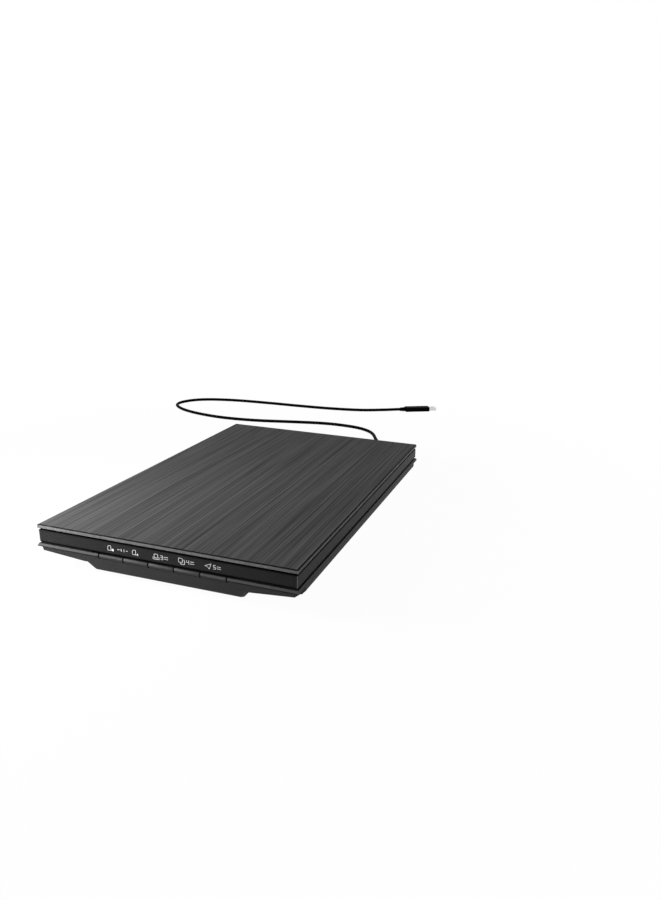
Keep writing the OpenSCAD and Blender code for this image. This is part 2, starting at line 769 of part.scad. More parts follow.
module platen_glass() {
    color("#bcd0d0", 0.4)
        block([-glass_half_w, glass_y[0], glass_bottom], [glass_half_w, glass_y[1], glass_top]);
}

module glass_tape() {
    color("#202020") difference() {
        block([-glass_half_w, glass_y[0], glass_top], [glass_half_w, glass_y[1], bezel_bottom]);
        block([-window_w / 2 - 0.5, -window_d / 2 - 0.5, 0],
            [window_w / 2 + 0.5, window_d / 2 + 0.5, body_h]);
    }
}

module calibration_strip() {
    color("white") block([-window_w / 2 + 2, home_y - strip_d / 2, glass_bottom - strip_t],
        [window_w / 2 - 2, home_y + strip_d / 2, glass_bottom]);
}

module rubber_feet() {
    r = foot_d / 2;
    color("#1a1a1a") for (p = foot_places) {
        translate([p[0], p[1], 0]) rotate_extrude() polygon(concat(
            [[0, 0.4], [r - 4, 0.4], [r - 3.6, 0]], [[r - 1.6, 0]],
                [[r - 0.6, 0.5], [r - 0.3, 1.4], [r, keel_z - 0.6]],
            [[r, keel_z + foot_recess], [0, keel_z + foot_recess]]
        ));
    }
}

module case_screws() {
    color("#55565a") for (s = case_screw_places) {
        screw_up(s[0], s[1], screw_d, boss_z - s[1] + screw_bite, head_d_screw, head_h_screw);
    }
}

module guide_rod() {
    wall_y = front_y(rod_z - rod_d / 2) + 1.25 * case_wall + seat_gap;
    color("#c8c8cc") extrude_y(max(rod_y0 + 0.2, wall_y), rod_y1 - 0.2) translate([rod_x, rod_z])
        circle(d = rod_d);
}

// Cap that closes a rod cradle from above
module rod_clips() {
    cradle_top = rod_z + rod_d / 2 - 0.4;
    fit = rod_d / 2 + run_gap - seat_gap;
    color("#d8d8d0") for (y0 = [rod_y0, rod_y1 - cradle_l]) {
        difference() {
            union() {
                block([rod_x - fit, y0 + 0.3, rod_z], [rod_x + fit, y0 + cradle_l - 0.3, cradle_top + 0.5]);
                block([rod_x - rod_d / 2 - 2, y0, cradle_top],
                    [rod_x + rod_d / 2 + 2, y0 + cradle_l, cradle_top + 1.4]);
            }
            extrude_y(y0 - 1, y0 + cradle_l + 1) translate([rod_x, rod_z]) circle(d = rod_d + 2 * run_gap);
        }
    }
}

// Teeth
pitch = PI * tooth_m;
function involute_turn(a) = tan(a) * 180 / PI - a;
function flank_angle(teeth, r, at) =
    90 / teeth - backlash / 4 / r * 180 / PI + involute_turn(pressure_angle)
    - involute_turn(acos(min(1, r * cos(pressure_angle) / at)));

// Outline of a gear with its first tooth on the +X axis
function gear_outline(teeth) =
    let (r = tooth_m * teeth / 2, root = r - dedendum, tip = r + addendum,
        base = max(root, r * cos(pressure_angle)))
    let (radii = [base, (base + r) / 2, r, (r + tip) / 2, tip])
    [
        for (i = [0:teeth - 1])
        let (middle = 360 / teeth * i, low = flank_angle(teeth, r, base))
        each concat(
            [root * [cos(middle - low), sin(middle - low)]],
            [for (q = radii) let (a = middle - flank_angle(teeth, r, q)) q * [cos(a), sin(a)]],
            [for (k = [len(radii) - 1:-1:0]) let (q = radii[k], a = middle + flank_angle(teeth, r, q))
                q * [cos(a), sin(a)]],
            [root * [cos(middle + low), sin(middle + low)]]
        )
    ];

// Toothed edge of the rack, with a tooth space at the drive gear's place at rest
function rack_edge() =
    let (half = pitch / 4 - backlash / 4, rise = tan(pressure_angle))
    let (first = ceil((rack_y0 - home_y) / pitch + 0.5), last = floor((rack_y1 - home_y) / pitch - 0.5))
    [
        for (k = [first:last - 1])
        let (y = home_y + (k + 0.5) * pitch)
        each [
            [rack_x + dedendum, y - half - dedendum * rise], [rack_x - addendum, y - half + addendum * rise],
            [rack_x - addendum, y + half - addendum * rise], [rack_x + dedendum, y + half + dedendum * rise]
        ]
    ];

module drive_rack() {
    color("#dcdcd2") difference() {
        union() {
            translate([0, 0, floor_z]) linear_extrude(rack_h) {
                polygon(concat([[rack_back, rack_y0], [rack_x + dedendum, rack_y0]], rack_edge(),
                    [[rack_x + dedendum, rack_y1], [rack_back, rack_y1]]));
            }
            for (y = rack_tab_y) {
                block([rack_back - 0.5, y - 4, floor_z], [rack_back + tab_l, y + 4, floor_z + tab_h]);
            }
        }
        for (y = rack_tab_y) translate([rack_hole_x, y, floor_z - 1])
            cylinder(d = rack_screw_d + 0.3, h = rack_h);
    }
}

module rack_screws() {
    color("#b8b8bc") for (y = rack_tab_y) {
        screw_down([rack_hole_x, y], floor_z + tab_h, rack_screw_d, rack_screw_l, rack_head_d, rack_head_h);
    }
}

module main_board() {
    color("#2f6b45") difference() {
        translate([0, 0, board_top - board_t]) linear_extrude(board_t) union() {
            translate([board_rear_x[0], board_mid_y])
                square([board_rear_x[1] - board_rear_x[0], board_rear_d]);
            translate([board_front_x[0], board_front_y])
                square([board_front_x[1] - board_front_x[0], board_front_d + 4]);
        }
        for (p = board_holes) translate([p[0], p[1], 0]) cylinder(d = 2.5, h = body_h);
    }
}

// Box standing on the main board
module chip(middle, size) {
    block([middle[0] - size[0] / 2, middle[1] - size[1] / 2, board_top],
        [middle[0] + size[0] / 2, middle[1] + size[1] / 2, board_top + size[2]]);
}

module board_chips() {
    color("#222224") {
        chip([port_x - 9, board_mid_y + 5], [9, 9, 1.4]);
        chip([ribbon_x, board_mid_y - 3.5], [6, 5, 1.2]);
        chip([board_rear_x[0] + 6, board_mid_y + 4.5], [5, 4, 1.1]);
        chip([ribbon_x, board_front_y + 2.2], [ribbon_w + 1, 3.4, 1.5]);
        chip([flex_x, board_front_y + 2.2], [flex_w + 1, 3.4, 1.5]);
    }
}

module usb_socket() {
    color("#c4c6ca") {
        difference() {
            extrude_y(half_d - 7.8, half_d - 0.2) translate([port_x, port_z]) stadium(socket_w, socket_h);
            extrude_y(half_d - 7, half_d) translate([port_x, port_z]) stadium(socket_w - 0.6, socket_h - 0.6);
        }
        block([port_x - 3.3, half_d - 7.4, port_z - 0.35], [port_x + 3.3, half_d - 2.5, port_z + 0.35]);
    }
}

module board_screws() {
    color("#b8b8bc") for (p = board_holes) screw_down(p, board_top, 2.2, board_t + 4, 4, 1.2);
}

module key_board() {
    color("#2f6b45") block([-key_board_half_w, key_board_y, key_board_z[0]],
        [key_board_half_w, key_board_y + key_board_t, key_board_z[1]]);
}

function key_x(i) = (i - (key_count - 1) / 2) * key_pitch;

module key_switches() {
    half = min(switch_w, key_board_z[1] - key_board_z[0] - 0.4) / 2;
    mid = (key_board_z[0] + key_board_z[1]) / 2;
    color("#303034") for (i = [0:key_count - 1]) {
        difference() {
            block([key_x(i) - switch_w / 2, switch_y, mid - half],
                [key_x(i) + switch_w / 2, key_board_y, mid + half]);
            extrude_y(switch_y - 1, switch_y + 2 * key_travel + 0.6) {
                translate([key_x(i), key_mid_z]) circle(d = key_stem_d + 2 * slide_gap);
            }
        }
    }
}

// One key: its face continues the leaning front of the rim
module key(number) {
    x = key_x(number - 1);
    half = (key_pitch - key_gap) / 2;
    low = key_bottom;
    color("#4a4a4c") if (number <= key_count) {
        extrude_x(x - half, x + half) polygon([
            [front_y(low), low], [-half_d, face_top], [-half_d + rim_bevel, rim_z],
            [-half_d + key_wall + 0.6, rim_z], [key_flange_y + 0.2, rim_z - 0.6], [key_flange_y + 0.2, low]
        ]);
        block([x - half + 1.5, key_flange_y, low - key_flange_drop],
            [x + half - 1.5, key_flange_y + key_flange_t, rim_z - 0.6]);
        extrude_y(key_flange_y + 0.5, switch_y + 0.6) translate([x, key_mid_z]) circle(d = key_stem_d);
    }
}
module key_1() { key(1); }
module key_2() { key(2); }
module key_3() { key(3); }
module key_4() { key(4); }
module key_5() { key(5); }

// Flat cable from the key board to the main board, along the floor
module key_flex() {
    t = ribbon_t;
    rise = key_board_y + key_board_t;
    lift = floor_z + 0.1;
    far = board_front_y - 0.4;
    color("#d9d4c4") extrude_x(flex_x - flex_w / 2, flex_x + flex_w / 2) polygon([
        [rise, key_board_z[0] + 2], [rise, lift + 0.6], [rise + 0.6, lift], [far - 8, lift],
            [far, board_top - 1.4],
        [far, board_top], [far + 0.9, board_top], [far + 0.9, board_top + t], [far - t, board_top + t],
        [far - t, board_top - 1.4], [far - 8.2, lift + t], [rise + 0.7, lift + t], [rise + t, lift + 0.7],
        [rise + t, key_board_z[0] + 2]
    ]);
}

// Flat cable from the main board to the scan head: along the floor, then free up to the head
ribbon_hold_y = home_y + head_travel / 2 + 8;
ribbon_head_y = home_y + head_d / 2 - 3;
module head_ribbon() {
    t = ribbon_t;
    lift = floor_z + 0.1;
    far = board_front_y - 0.4;
    color("#d9d4c4") extrude_x(ribbon_x - ribbon_w / 2, ribbon_x + ribbon_w / 2) polygon([
        [ribbon_head_y, head_bottom - 0.1], [ribbon_head_y + 8, head_bottom - 0.4], [ribbon_hold_y, lift + t],
        [far - 8.2, lift + t], [far - t, board_top - 1.4], [far - t, board_top + t],
            [far + 0.9, board_top + t],
        [far + 0.9, board_top], [far, board_top], [far, board_top - 1.4], [far - 8, lift],
            [ribbon_hold_y, lift],
        [ribbon_head_y + 8, head_bottom - 0.4 - t], [ribbon_head_y, head_bottom - 0.1 - t]
    ]);
}

// Lid: the outside, with its bevelled upper edge
function lid_outline(half) =
    let (w = lid_bevel_w, h = lid_bevel_h)
    both_sides([
        [half - w, body_h], [half - 0.2 * w, body_h - 0.75 * h], [half, body_h - 1.6 * h],
        [half, skirt_bottom + 0.4], [half - 0.4, skirt_bottom]
    ]);
module lid_form() {
    intersection() {
        extrude_y(-lid_half_d, lid_half_d) polygon(lid_outline(lid_half_w));
        extrude_x(-lid_half_w, lid_half_w) polygon(lid_outline(lid_half_d));
        linear_extrude(body_h + 1) rounded_rect(2 * lid_half_w, 2 * lid_half_d, lid_corner_r);
    }
}

module lid_cover() {
    inset = lid_wall + 0.4;
    color("#56565a") difference() {
        lid_form();
        block([-lid_half_w + inset, -lid_half_d + inset, 0],
            [lid_half_w - inset, lid_half_d - inset, tray_top]);
    }
}

tray_half_w = lid_half_w - tray_inset;
tray_half_d = lid_half_d - tray_inset;
tray_cells = [4, 6];

// One hinge ear of the lid, seen from the side
module ear_shape() {
    circle(rear_r + 0.1);
    polygon([
        [-rear_r - 0.1, 0], [-rear_r - 0.1, tray_bottom - hinge_z + 0.4],
        [tray_half_d - hinge_y, tray_bottom - hinge_z + 0.4], [rear_r + 0.1, 0]
    ]);
}

bumper_places = [for (x = [-1, 1]) [x * (tray_half_w - 8), -tray_half_d + 8]];

module lid_tray() {
    cell_w = (2 * tray_half_w - tray_rib * (tray_cells[0] + 1)) / tray_cells[0];
    cell_d = (2 * tray_half_d - tray_rib * (tray_cells[1] + 1)) / tray_cells[1];
    color("#2c2c2e") difference() {
        union() {
            difference() {
                translate([0, 0, tray_bottom]) linear_extrude(tray_top - tray_bottom) {
                    square([2 * tray_half_w, 2 * tray_half_d], center = true);
                }
                for (i = [0:tray_cells[0] - 1], j = [0:tray_cells[1] - 1]) {
                    translate([
                        -tray_half_w + tray_rib + i * (cell_w + tray_rib),
                        -tray_half_d + tray_rib + j * (cell_d + tray_rib), tray_bottom + tray_floor
                    ]) cube([cell_w, cell_d, tray_top]);
                }
            }
            for (side = [-1, 1], at = [-leg_w / 2 - ear_gap - ear_t, leg_w / 2 + ear_gap]) {
                x0 = side * hinge_x + at;
                extrude_x(x0, x0 + ear_t) translate([hinge_y, hinge_z]) ear_shape();
            }
        }
        extrude_x(-half_w, half_w) translate([hinge_y, hinge_z]) circle(d = pin_d + 2 * run_gap);
        for (p = bumper_places) translate([p[0], p[1], 0])
            cylinder(d = bumper_d + 2 * seat_gap, h = tray_bottom + 0.6);
    }
}

pad_half_w = window_w / 2 - pad_margin;
pad_half_d = window_d / 2 - pad_margin;

module pad_foam() {
    color("#e6e6e2")
        block([-pad_half_w, -pad_half_d, pad_bottom + sheet_t], [pad_half_w, pad_half_d, tray_bottom]);
}

module pad_sheet() {
    color("white")
        block([-pad_half_w, -pad_half_d, pad_bottom], [pad_half_w, pad_half_d, pad_bottom + sheet_t]);
}

module lid_bumpers() {
    color("#161616") for (p = bumper_places) {
        translate([p[0], p[1], bezel_top + seat_gap])
            cylinder(d = bumper_d, h = tray_bottom + 0.6 - bezel_top - seat_gap);
    }
}

// Leg that slides in the case and carries the lid
module hinge_leg(side) {
    x = side * hinge_x;
    color("#2c2c2e") difference() {
        union() {
            extrude_x(x - leg_w / 2, x + leg_w / 2) union() {
                polygon([
                    [leg_y[0], leg_bottom], [leg_y[1], leg_bottom], [leg_y[1], hinge_z - knuckle_r - 0.2],
                    [hinge_y, hinge_z - knuckle_r], [hinge_y, hinge_z + knuckle_r - 0.4],
                    [leg_y[0] + 1.2, hinge_z + knuckle_r - 0.8], [leg_y[0], hinge_z + knuckle_r - 2]
                ]);
                translate([hinge_y, hinge_z]) circle(knuckle_r);
            }
            block([x - leg_w / 2 - 1.5, leg_y[0], leg_bottom],
                [x + leg_w / 2 + 1.5, leg_y[1], leg_bottom + stop_h]);
        }
        extrude_x(x - leg_w, x + leg_w) translate([hinge_y, hinge_z]) circle(d = pin_d + 2 * run_gap);
    }
}
module hinge_leg_left() { hinge_leg(-1); }
module hinge_leg_right() { hinge_leg(1); }

module hinge_pins() {
    half = leg_w / 2 + ear_gap + ear_t;
    color("#c8c8cc") for (x = [-hinge_x, hinge_x]) {
        extrude_x(x - half, x + half) translate([hinge_y, hinge_z]) circle(d = pin_d);
    }
}

// Carriage: a tray turned over, with cheeks for the scan head and a sleeve for the rod
cheek_ribs = 4;
rib_t = 1.5;
module carriage() {
    half = carriage_d / 2;
    cheek = head_d / 2 + slide_gap;
    drive_x0 = motor_x - motor_d / 2 - 1.5;
    color("#262628") translate([0, home_y, 0]) difference() {
        union() {
            block([carriage_x0, -half, deck_bottom], [carriage_x1, half, deck_top]);
            // Walls round the motor
            difference() {
                block([drive_x0 - carriage_wall, -half, motor_z], [carriage_x1, half, deck_top]);
                block([drive_x0, -half + carriage_wall, 0],
                    [carriage_x1 - carriage_wall, half - carriage_wall, deck_bottom]);
            }
            for (side = [0, 1]) mirror([0, side, 0]) {
                block([carriage_x0, cheek, deck_top - 0.5],
                    [carriage_x1, cheek + carriage_wall, deck_top + spring_h + cheek_h]);
                for (i = [0:cheek_ribs - 1]) {
                    x = carriage_x0 + i * (carriage_x1 - rib_t - carriage_x0) / (cheek_ribs - 1);
                    block([x, cheek, deck_top - 0.5], [x + rib_t, half, deck_top + spring_h + cheek_h - 2.5]);
                }
            }
            extrude_y(-half, half) translate([rod_x, rod_z]) circle(sleeve_r);
            block([rod_x - sleeve_r, -half, rod_z], [rod_x + sleeve_r, half, deck_top]);
            // Posts for the bracket screws
            for (y = [-1, 1]) translate([drive_x0 + 1, y * (half - 3.4), motor_z])
                cylinder(d = 4, h = deck_top - motor_z);
        }
        extrude_y(-half - 1, half + 1) translate([rod_x, rod_z]) circle(rod_d / 2 + bush_wall);
        translate([motor_x, 0, 0]) cylinder(d = motor_d + 2 * slide_gap, h = body_h);
        for (y = [-1, 1]) translate([drive_x0 + 1, y * (half - 3.4), 0])
            cylinder(d = 1.6 + 2 * run_gap, h = motor_z + 4.5);
    }
}

module rod_bushes() {
    half = carriage_d / 2;
    color("#c9a24a") translate([0, home_y, 0]) for (y = [-half, half - bush_l]) {
        extrude_y(y, y + bush_l) translate([rod_x, rod_z]) difference() {
            circle(rod_d / 2 + bush_wall - run_gap);
            circle(d = rod_d + 2 * run_gap);
        }
    }
}

// Scan head
window_l = head_l - 8;
window_h = 0.8;
lens_d = 4;
guide_d = 3.6;
guide_y = 4.4;
sensor_t = 1.2;
lens_z = [head_bottom + 2.6, head_top - window_h - 0.6];
guide_z = [head_top - window_h - 4.6, head_top - window_h - 0.8];
lens_l = head_l - 14;

// Room for a bar in the scan head
module bar(l, y, d, z0, z1, gap) {
    block([-l / 2 - gap, y - d / 2 - gap, z0 - gap], [l / 2 + gap, y + d / 2 + gap, z1 + gap]);
}

module sensor_housing() {
    color("#19191b") translate([0, home_y, 0]) difference() {
        block([-head_l / 2, -head_d / 2, head_bottom], [head_l / 2, head_d / 2, head_top]);
        bar(window_l, 1, head_d - 6, head_top - window_h, head_top + 1, seat_gap);
        bar(lens_l, -1.4, lens_d, lens_z[0], head_top, seat_gap);
        bar(lens_l, guide_y, guide_d, guide_z[0], head_top, seat_gap);
        bar(head_l - 5, 0, head_d - 4, head_bottom - 1, head_bottom + 0.4 + sensor_t, seat_gap);
        bar(lens_l, -1.4, 1.6, head_bottom, lens_z[0] + 1, 0);
        // Chamfers along the lower edges
        for (y = [-1, 1]) translate([-head_l, y * head_d / 2, head_bottom]) rotate([45, 0, 0]) {
            translate([0, -0.7, -0.7]) cube([2 * head_l, 1.4, 1.4]);
        }
    }
}

module sensor_window() {
    color("#b8cccc", 0.5) translate([0, home_y, 0])
        bar(window_l, 1, head_d - 6, head_top - window_h, head_top, 0);
}

module lens_array() {
    color("#8a8f98") translate([0, home_y, 0]) bar(lens_l - 1, -1.4, lens_d, lens_z[0], lens_z[1], 0);
}

lamp_l = 5;
module light_guide() {
    color("#e8f0f0", 0.7) translate([-lamp_l / 2, home_y + guide_y, 0]) {
        block([-lens_l / 2 + lamp_l / 2 + 0.5, -guide_d / 2, guide_z[0]],
            [lens_l / 2 - lamp_l / 2, 0.4 * guide_d, guide_z[0] + 1.4]);
        block([-lens_l / 2 + lamp_l / 2 + 0.5, -guide_d / 2 + 0.6, guide_z[0]],
            [lens_l / 2 - lamp_l / 2, guide_d / 2, guide_z[1]]);
    }
}

module lamp_module() {
    color("#f2f2ee") translate([lens_l / 2 - lamp_l, home_y + guide_y, 0]) {
        block([0.2, -guide_d / 2, guide_z[0]], [lamp_l, guide_d / 2, guide_z[1]]);
    }
}

module sensor_board() {
    color("#2f6b45") translate([0, home_y, 0]) {
        bar(head_l - 6, 0, head_d - 5, head_bottom + 0.4, head_bottom + 0.4 + sensor_t, 0);
    }
}

// Leaf springs between the carriage deck and the scan head
spring_x = [[carriage_x0 + 10, 17], [motor_x + motor_d / 2 + 4, 14]];
spring_t = 0.2;
module head_springs() {
    color("#c0c2c6") for (s = spring_x) translate([s[0], 0, 0]) {
        extrude_y(home_y - 3, home_y + 3) polygon([
            [0, deck_top], [4, deck_top], [s[1] - 3, head_bottom - spring_t], [s[1], head_bottom - spring_t],
            [s[1], head_bottom], [s[1] - 3.1, head_bottom], [3.9, deck_top + spring_t],
                [0, deck_top + spring_t]
        ]);
    }
}

slider_l = 3;
module glass_sliders() {
    color("#e4e4dc") for (side = [0, 1]) mirror([side, 0, 0]) {
        translate([head_l / 2 - slider_l - 0.4, home_y, head_top]) {
            extrude_x(0, slider_l) polygon([
                [-head_d / 2 + 2, 0], [-head_d / 2 + 3, head_gap - 0.2], [head_d / 2 - 3, head_gap - 0.2],
                    [head_d / 2 - 2, 0]
            ]);
        }
    }
}

// Steel plate under the carriage that carries the motor and the axle of the drive gear
flange_half = motor_d / 2 + 3.2;
motor_hole_y = motor_d / 2 + 1.5;
module motor_bracket() {
    half = carriage_d / 2;
    x0 = motor_x - motor_d / 2 - 1.5;
    color("#b4b6ba") translate([0, home_y, bracket_z]) difference() {
        block([x0 - 1, -half + 0.4, 0], [carriage_x1 - 1, half - 0.4, bracket_t]);
        translate([motor_x, 0, -1]) cylinder(d = shaft_d + 2.5, h = 5);
        translate([idler_x, 0, -1]) cylinder(d = axle_d + 2 * run_gap, h = 5);
        for (y = [-1, 1]) {
            translate([x0 + 1, y * (half - 3.4), -1]) cylinder(d = 1.9, h = 5);
            translate([motor_x, y * motor_hole_y, -1]) cylinder(d = 1.9, h = 5);
        }
    }
}

module stepper_motor() {
    color("#9a9ca2") translate([motor_x, home_y, motor_z]) difference() {
        union() {
            cylinder(d = motor_d, h = motor_top - motor_z);
            linear_extrude(0.8) {
                square([7, 2 * flange_half - 7], center = true);
                for (y = [-1, 1]) translate([0, y * (flange_half - 3.5)]) circle(3.5);
            }
            translate([0, 0, 2]) cylinder(d = motor_d + 0.2, h = 0.6);
        }
        translate([0, 0, -1]) cylinder(d = shaft_d + 2 * run_gap, h = motor_top - motor_z);
        for (y = [-1, 1]) translate([0, y * motor_hole_y, -1]) cylinder(d = 1.6 + 2 * run_gap, h = 3);
    }
}

module carriage_screws() {
    half = carriage_d / 2;
    color("#8c8e92") translate([0, home_y, 0]) {
        for (y = [-1, 1]) {
            screw_up([motor_x - motor_d / 2 - 0.5, y * (half - 3.4)], bracket_z, 1.6, bracket_t + 4, 3, 1);
            screw_up([motor_x, y * motor_hole_y], bracket_z, 1.6, bracket_t + 0.8, 2.6, 0.9);
        }
    }
}

axle_head = 0.4;
module idler_axle() {
    color("#c8c8cc") translate([idler_x, home_y, 0]) {
        translate([0, 0, gear_z - 0.1 - axle_head]) cylinder(d = axle_d + 2, h = axle_head);
        translate([0, 0, gear_z - 0.1 - axle_head])
            cylinder(d = axle_d, h = motor_z - gear_z + 0.1 + axle_head);
    }
}

// Motor pinion with its shaft
module motor_pinion() {
    color("#d6b65c") translate([motor_x, home_y, 0]) {
        translate([0, 0, gear_z]) rotate([0, 0, 180 / pinion_teeth]) linear_extrude(gear_h)
            polygon(gear_outline(pinion_teeth));
        translate([0, 0, gear_z - 0.2]) cylinder(d = shaft_d, h = motor_z + 4 - gear_z);
    }
}

module idler_gear() {
    color("#e9e7dc") translate([idler_x, home_y, gear_z]) difference() {
        union() {
            linear_extrude(gear_h) polygon(gear_outline(idler_teeth));
            cylinder(d = axle_d + 3, h = bracket_z - gear_z - 0.15);
        }
        translate([0, 0, -1]) cylinder(d = axle_d + 2 * run_gap, h = 10);
        // Web between the hub and the toothed ring
        difference() {
            translate([0, 0, -0.01]) cylinder(r = idler_r - dedendum - 1.4, h = 0.7);
            translate([0, 0, -1]) cylinder(d = axle_d + 3, h = 3);
        }
    }
}

// Plug at the scanner: the moulded grip, its strain relief and the metal tip
module strain_relief(from_d, to_d, l) {
    ribs = 4;
    step = l / ribs;
    rotate_extrude() polygon(concat(
        [[0, 0]],
        [
            for (i = [0:ribs - 1])
            let (r = (from_d + (to_d - from_d) * i / ribs) / 2)
            each [[r, i * step], [r, (i + 0.62) * step], [r - 0.5, (i + 0.62) * step],
                [r - 0.5, (i + 1) * step]]
        ],
        [[0, l]]
    ));
}

module usb_c_plug() {
    color("#141414") {
        extrude_y(c_grip_y, c_grip_y + c_grip_l) translate([port_x, port_z]) stadium(12.4, 7.4);
        translate([port_x, c_grip_y + c_grip_l - 0.01, port_z]) rotate([-90, 0, 0]) {
            strain_relief(7.2, cable_d + 1.2, relief_l + 0.01);
        }
    }
}

module usb_c_tip() {
    color("#c4c6ca") difference() {
        extrude_y(half_d - 6, c_grip_y) translate([port_x, port_z]) stadium(tip_w, tip_h);
        extrude_y(half_d - 7, half_d - 0.5) translate([port_x, port_z]) stadium(tip_w - 0.8, tip_h - 0.8);
    }
}

// Smooth curve through the route's points
function route_at(i) = route[max(0, min(len(route) - 1, i))];
function curve(i, t) =
    let (a = route_at(i - 1), b = route_at(i), c = route_at(i + 1), d = route_at(i + 2))
    0.5 * (2 * b + (c - a) * t + (2 * a - 5 * b + 4 * c - d) * t * t + (3 * b - a - 3 * c + d) * t * t * t);
path = concat(
    [for (i = [0:len(route) - 2], k = [0:rings_per_span - 1]) curve(i, k / rings_per_span)],
        [route[len(route) - 1]]
);
last = len(path) - 1;
function heading(i) =
    i == 0 ? [0, 1, 0] : i == last ? far_dir : (path[i + 1] - path[i - 1]) / norm(path[i + 1] - path[i - 1]);
function ring_side(i) = let (h = heading(i), s = [h[1], -h[0], 0]) s / norm(s);

module usb_cable() {
    n = cable_sides;
    color("#141414") polyhedron(
        points = [
            for (i = [0:last], k = [0:n - 1])
            let (s = ring_side(i), u = cross(s, heading(i)), a = 360 * (k + 0.5) / n)
            path[i] + cable_d / 2 * (cos(a) * s + sin(a) * u)
        ],
        faces = concat(
            [for (i = [0:last - 1], k = [0:n - 1]) [i * n + k, (i + 1) * n + k, (i + 1) * n + (k + 1) % n]],
            [for (i = [0:last - 1], k = [0:n - 1]) [i * n + k, (i + 1) * n + (k + 1) % n,
                i * n + (k + 1) % n]],
            [[for (k = [0:n - 1]) k]],
            [[for (k = [n - 1:-1:0]) last * n + k]]
        )
    );
}

// Frame of the far plug: its cable end at the origin, pointing along +X
module at_far_plug() {
    translate(far_plug) rotate([0, 0, far_turn]) children();
}

shell_l = 12;
module usb_a_plug() {
    color("#141414") at_far_plug() {
        translate([relief_l, 0, 0]) rotate([0, -90, 0]) strain_relief(7.4, cable_d + 1.2, relief_l);
        translate([relief_l - 0.01, 0, 0]) rotate([90, 0, 90]) linear_extrude(grip_l)
            rounded_rect(grip_w, grip_h, 2);
    }
}

module usb_a_shell() {
    color("#c4c6ca") at_far_plug() translate([relief_l + grip_l - 0.01, 0, 0]) difference() {
        block([0, -6, -2.25], [shell_l, 6, 2.25]);
        block([0.4, -5.7, -1.95], [shell_l + 1, 5.7, 1.95]);
        for (y = [-1, 1]) block([4.5, y * 2.7 - 1.2, -3], [7, y * 2.7 + 1.2, 3]);
    }
}

module usb_a_tongue() {
    color("#f0f0ee") at_far_plug() translate([relief_l + grip_l - 0.01, 0, 0]) {
        block([0.4, -5.6, -1.95], [shell_l - 0.6, 5.6, -0.1]);
    }
}

lower_case();
upper_case();
front_panel();
platen_glass();
glass_tape();
calibration_strip();
rubber_feet();
case_screws();
guide_rod();
rod_clips();
drive_rack();
rack_screws();
main_board();
board_chips();
usb_socket();
board_screws();
key_board();
key_switches();
key_flex();
head_ribbon();
lid_cover();
lid_tray();
pad_foam();
pad_sheet();
lid_bumpers();
hinge_leg_left();
hinge_leg_right();
hinge_pins();
carriage();
rod_bushes();
sensor_housing();
sensor_window();
lens_array();
light_guide();
lamp_module();
sensor_board();
head_springs();
glass_sliders();
motor_bracket();
stepper_motor();
carriage_screws();
idler_axle();
motor_pinion();
idler_gear();
key_1();
key_2();
key_3();
key_4();
key_5();
usb_c_plug();
usb_c_tip();
usb_cable();
usb_a_plug();
usb_a_shell();
usb_a_tongue();
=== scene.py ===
# %% [markdown]
# # A slim flatbed scanner
# The solids come from a CAD model, and this lesson dresses them. The object is a thin dark box with a lid, a glass
# platen, a scan head on a rod, five keys in the front rim and a data cable that makes one long loop on the table.
# Each step below says what the real piece is, how it could be made in Blender and why one way was taken.

# %% Load the solids
import json
import math

import bmesh
import bpy
from mathutils import Matrix, Vector


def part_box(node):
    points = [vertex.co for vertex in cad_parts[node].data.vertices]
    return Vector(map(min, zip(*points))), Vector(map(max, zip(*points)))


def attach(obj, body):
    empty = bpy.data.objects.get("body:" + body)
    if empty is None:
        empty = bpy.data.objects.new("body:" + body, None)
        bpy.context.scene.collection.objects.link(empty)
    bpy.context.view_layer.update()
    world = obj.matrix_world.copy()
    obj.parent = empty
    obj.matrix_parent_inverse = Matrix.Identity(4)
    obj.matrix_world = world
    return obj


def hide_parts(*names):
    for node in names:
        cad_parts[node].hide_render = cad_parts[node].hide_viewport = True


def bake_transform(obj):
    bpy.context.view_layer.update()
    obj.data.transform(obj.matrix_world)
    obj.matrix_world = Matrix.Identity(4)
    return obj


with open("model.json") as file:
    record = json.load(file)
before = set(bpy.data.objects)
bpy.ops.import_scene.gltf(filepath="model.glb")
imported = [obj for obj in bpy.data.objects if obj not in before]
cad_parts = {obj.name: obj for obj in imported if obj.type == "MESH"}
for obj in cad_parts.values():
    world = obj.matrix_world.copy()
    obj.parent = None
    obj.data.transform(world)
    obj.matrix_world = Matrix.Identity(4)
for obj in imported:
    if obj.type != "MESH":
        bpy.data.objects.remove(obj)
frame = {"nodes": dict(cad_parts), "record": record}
nodes = frame["nodes"]
scene = bpy.context.scene
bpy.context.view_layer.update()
MM = 0.001

# %% [markdown]
# ## The camera
# A camera was fitted to the straight edges of the lid, the band and the rim. It stands to the right of the front, a
# little above the lid, its lens is slightly wide, and it is turned by about one degree round its own axis, as a camera
# that is set by hand is. Aiming it at a point can't give that turn, so its own three directions are written down:
# right, up and back. The picture is cut a little off the middle of the lens, which is the lens shift.

# %% Camera
camera_data = bpy.data.cameras.new("photo_camera")
camera_data.lens = 28.773
camera_data.sensor_width = 36.0
camera_data.sensor_fit = "AUTO"
camera_data.shift_x, camera_data.shift_y = -0.03557, 0.01434
camera = bpy.data.objects.new("photo_camera", camera_data)
scene.collection.objects.link(camera)
camera.location = (0.325806, -0.643905, 0.296095)
camera_right = (0.9475061, 0.3189986, 0.0217267)
camera_up = (-0.1195732, 0.2905017, 0.9493740)
camera_back = (0.2965373, -0.9021356, 0.3133959)
camera.rotation_euler = Matrix((camera_right, camera_up, camera_back)).transposed().to_euler()
scene.camera = camera
print("camera is", round(camera.location.length, 3), "m from the middle of the case")

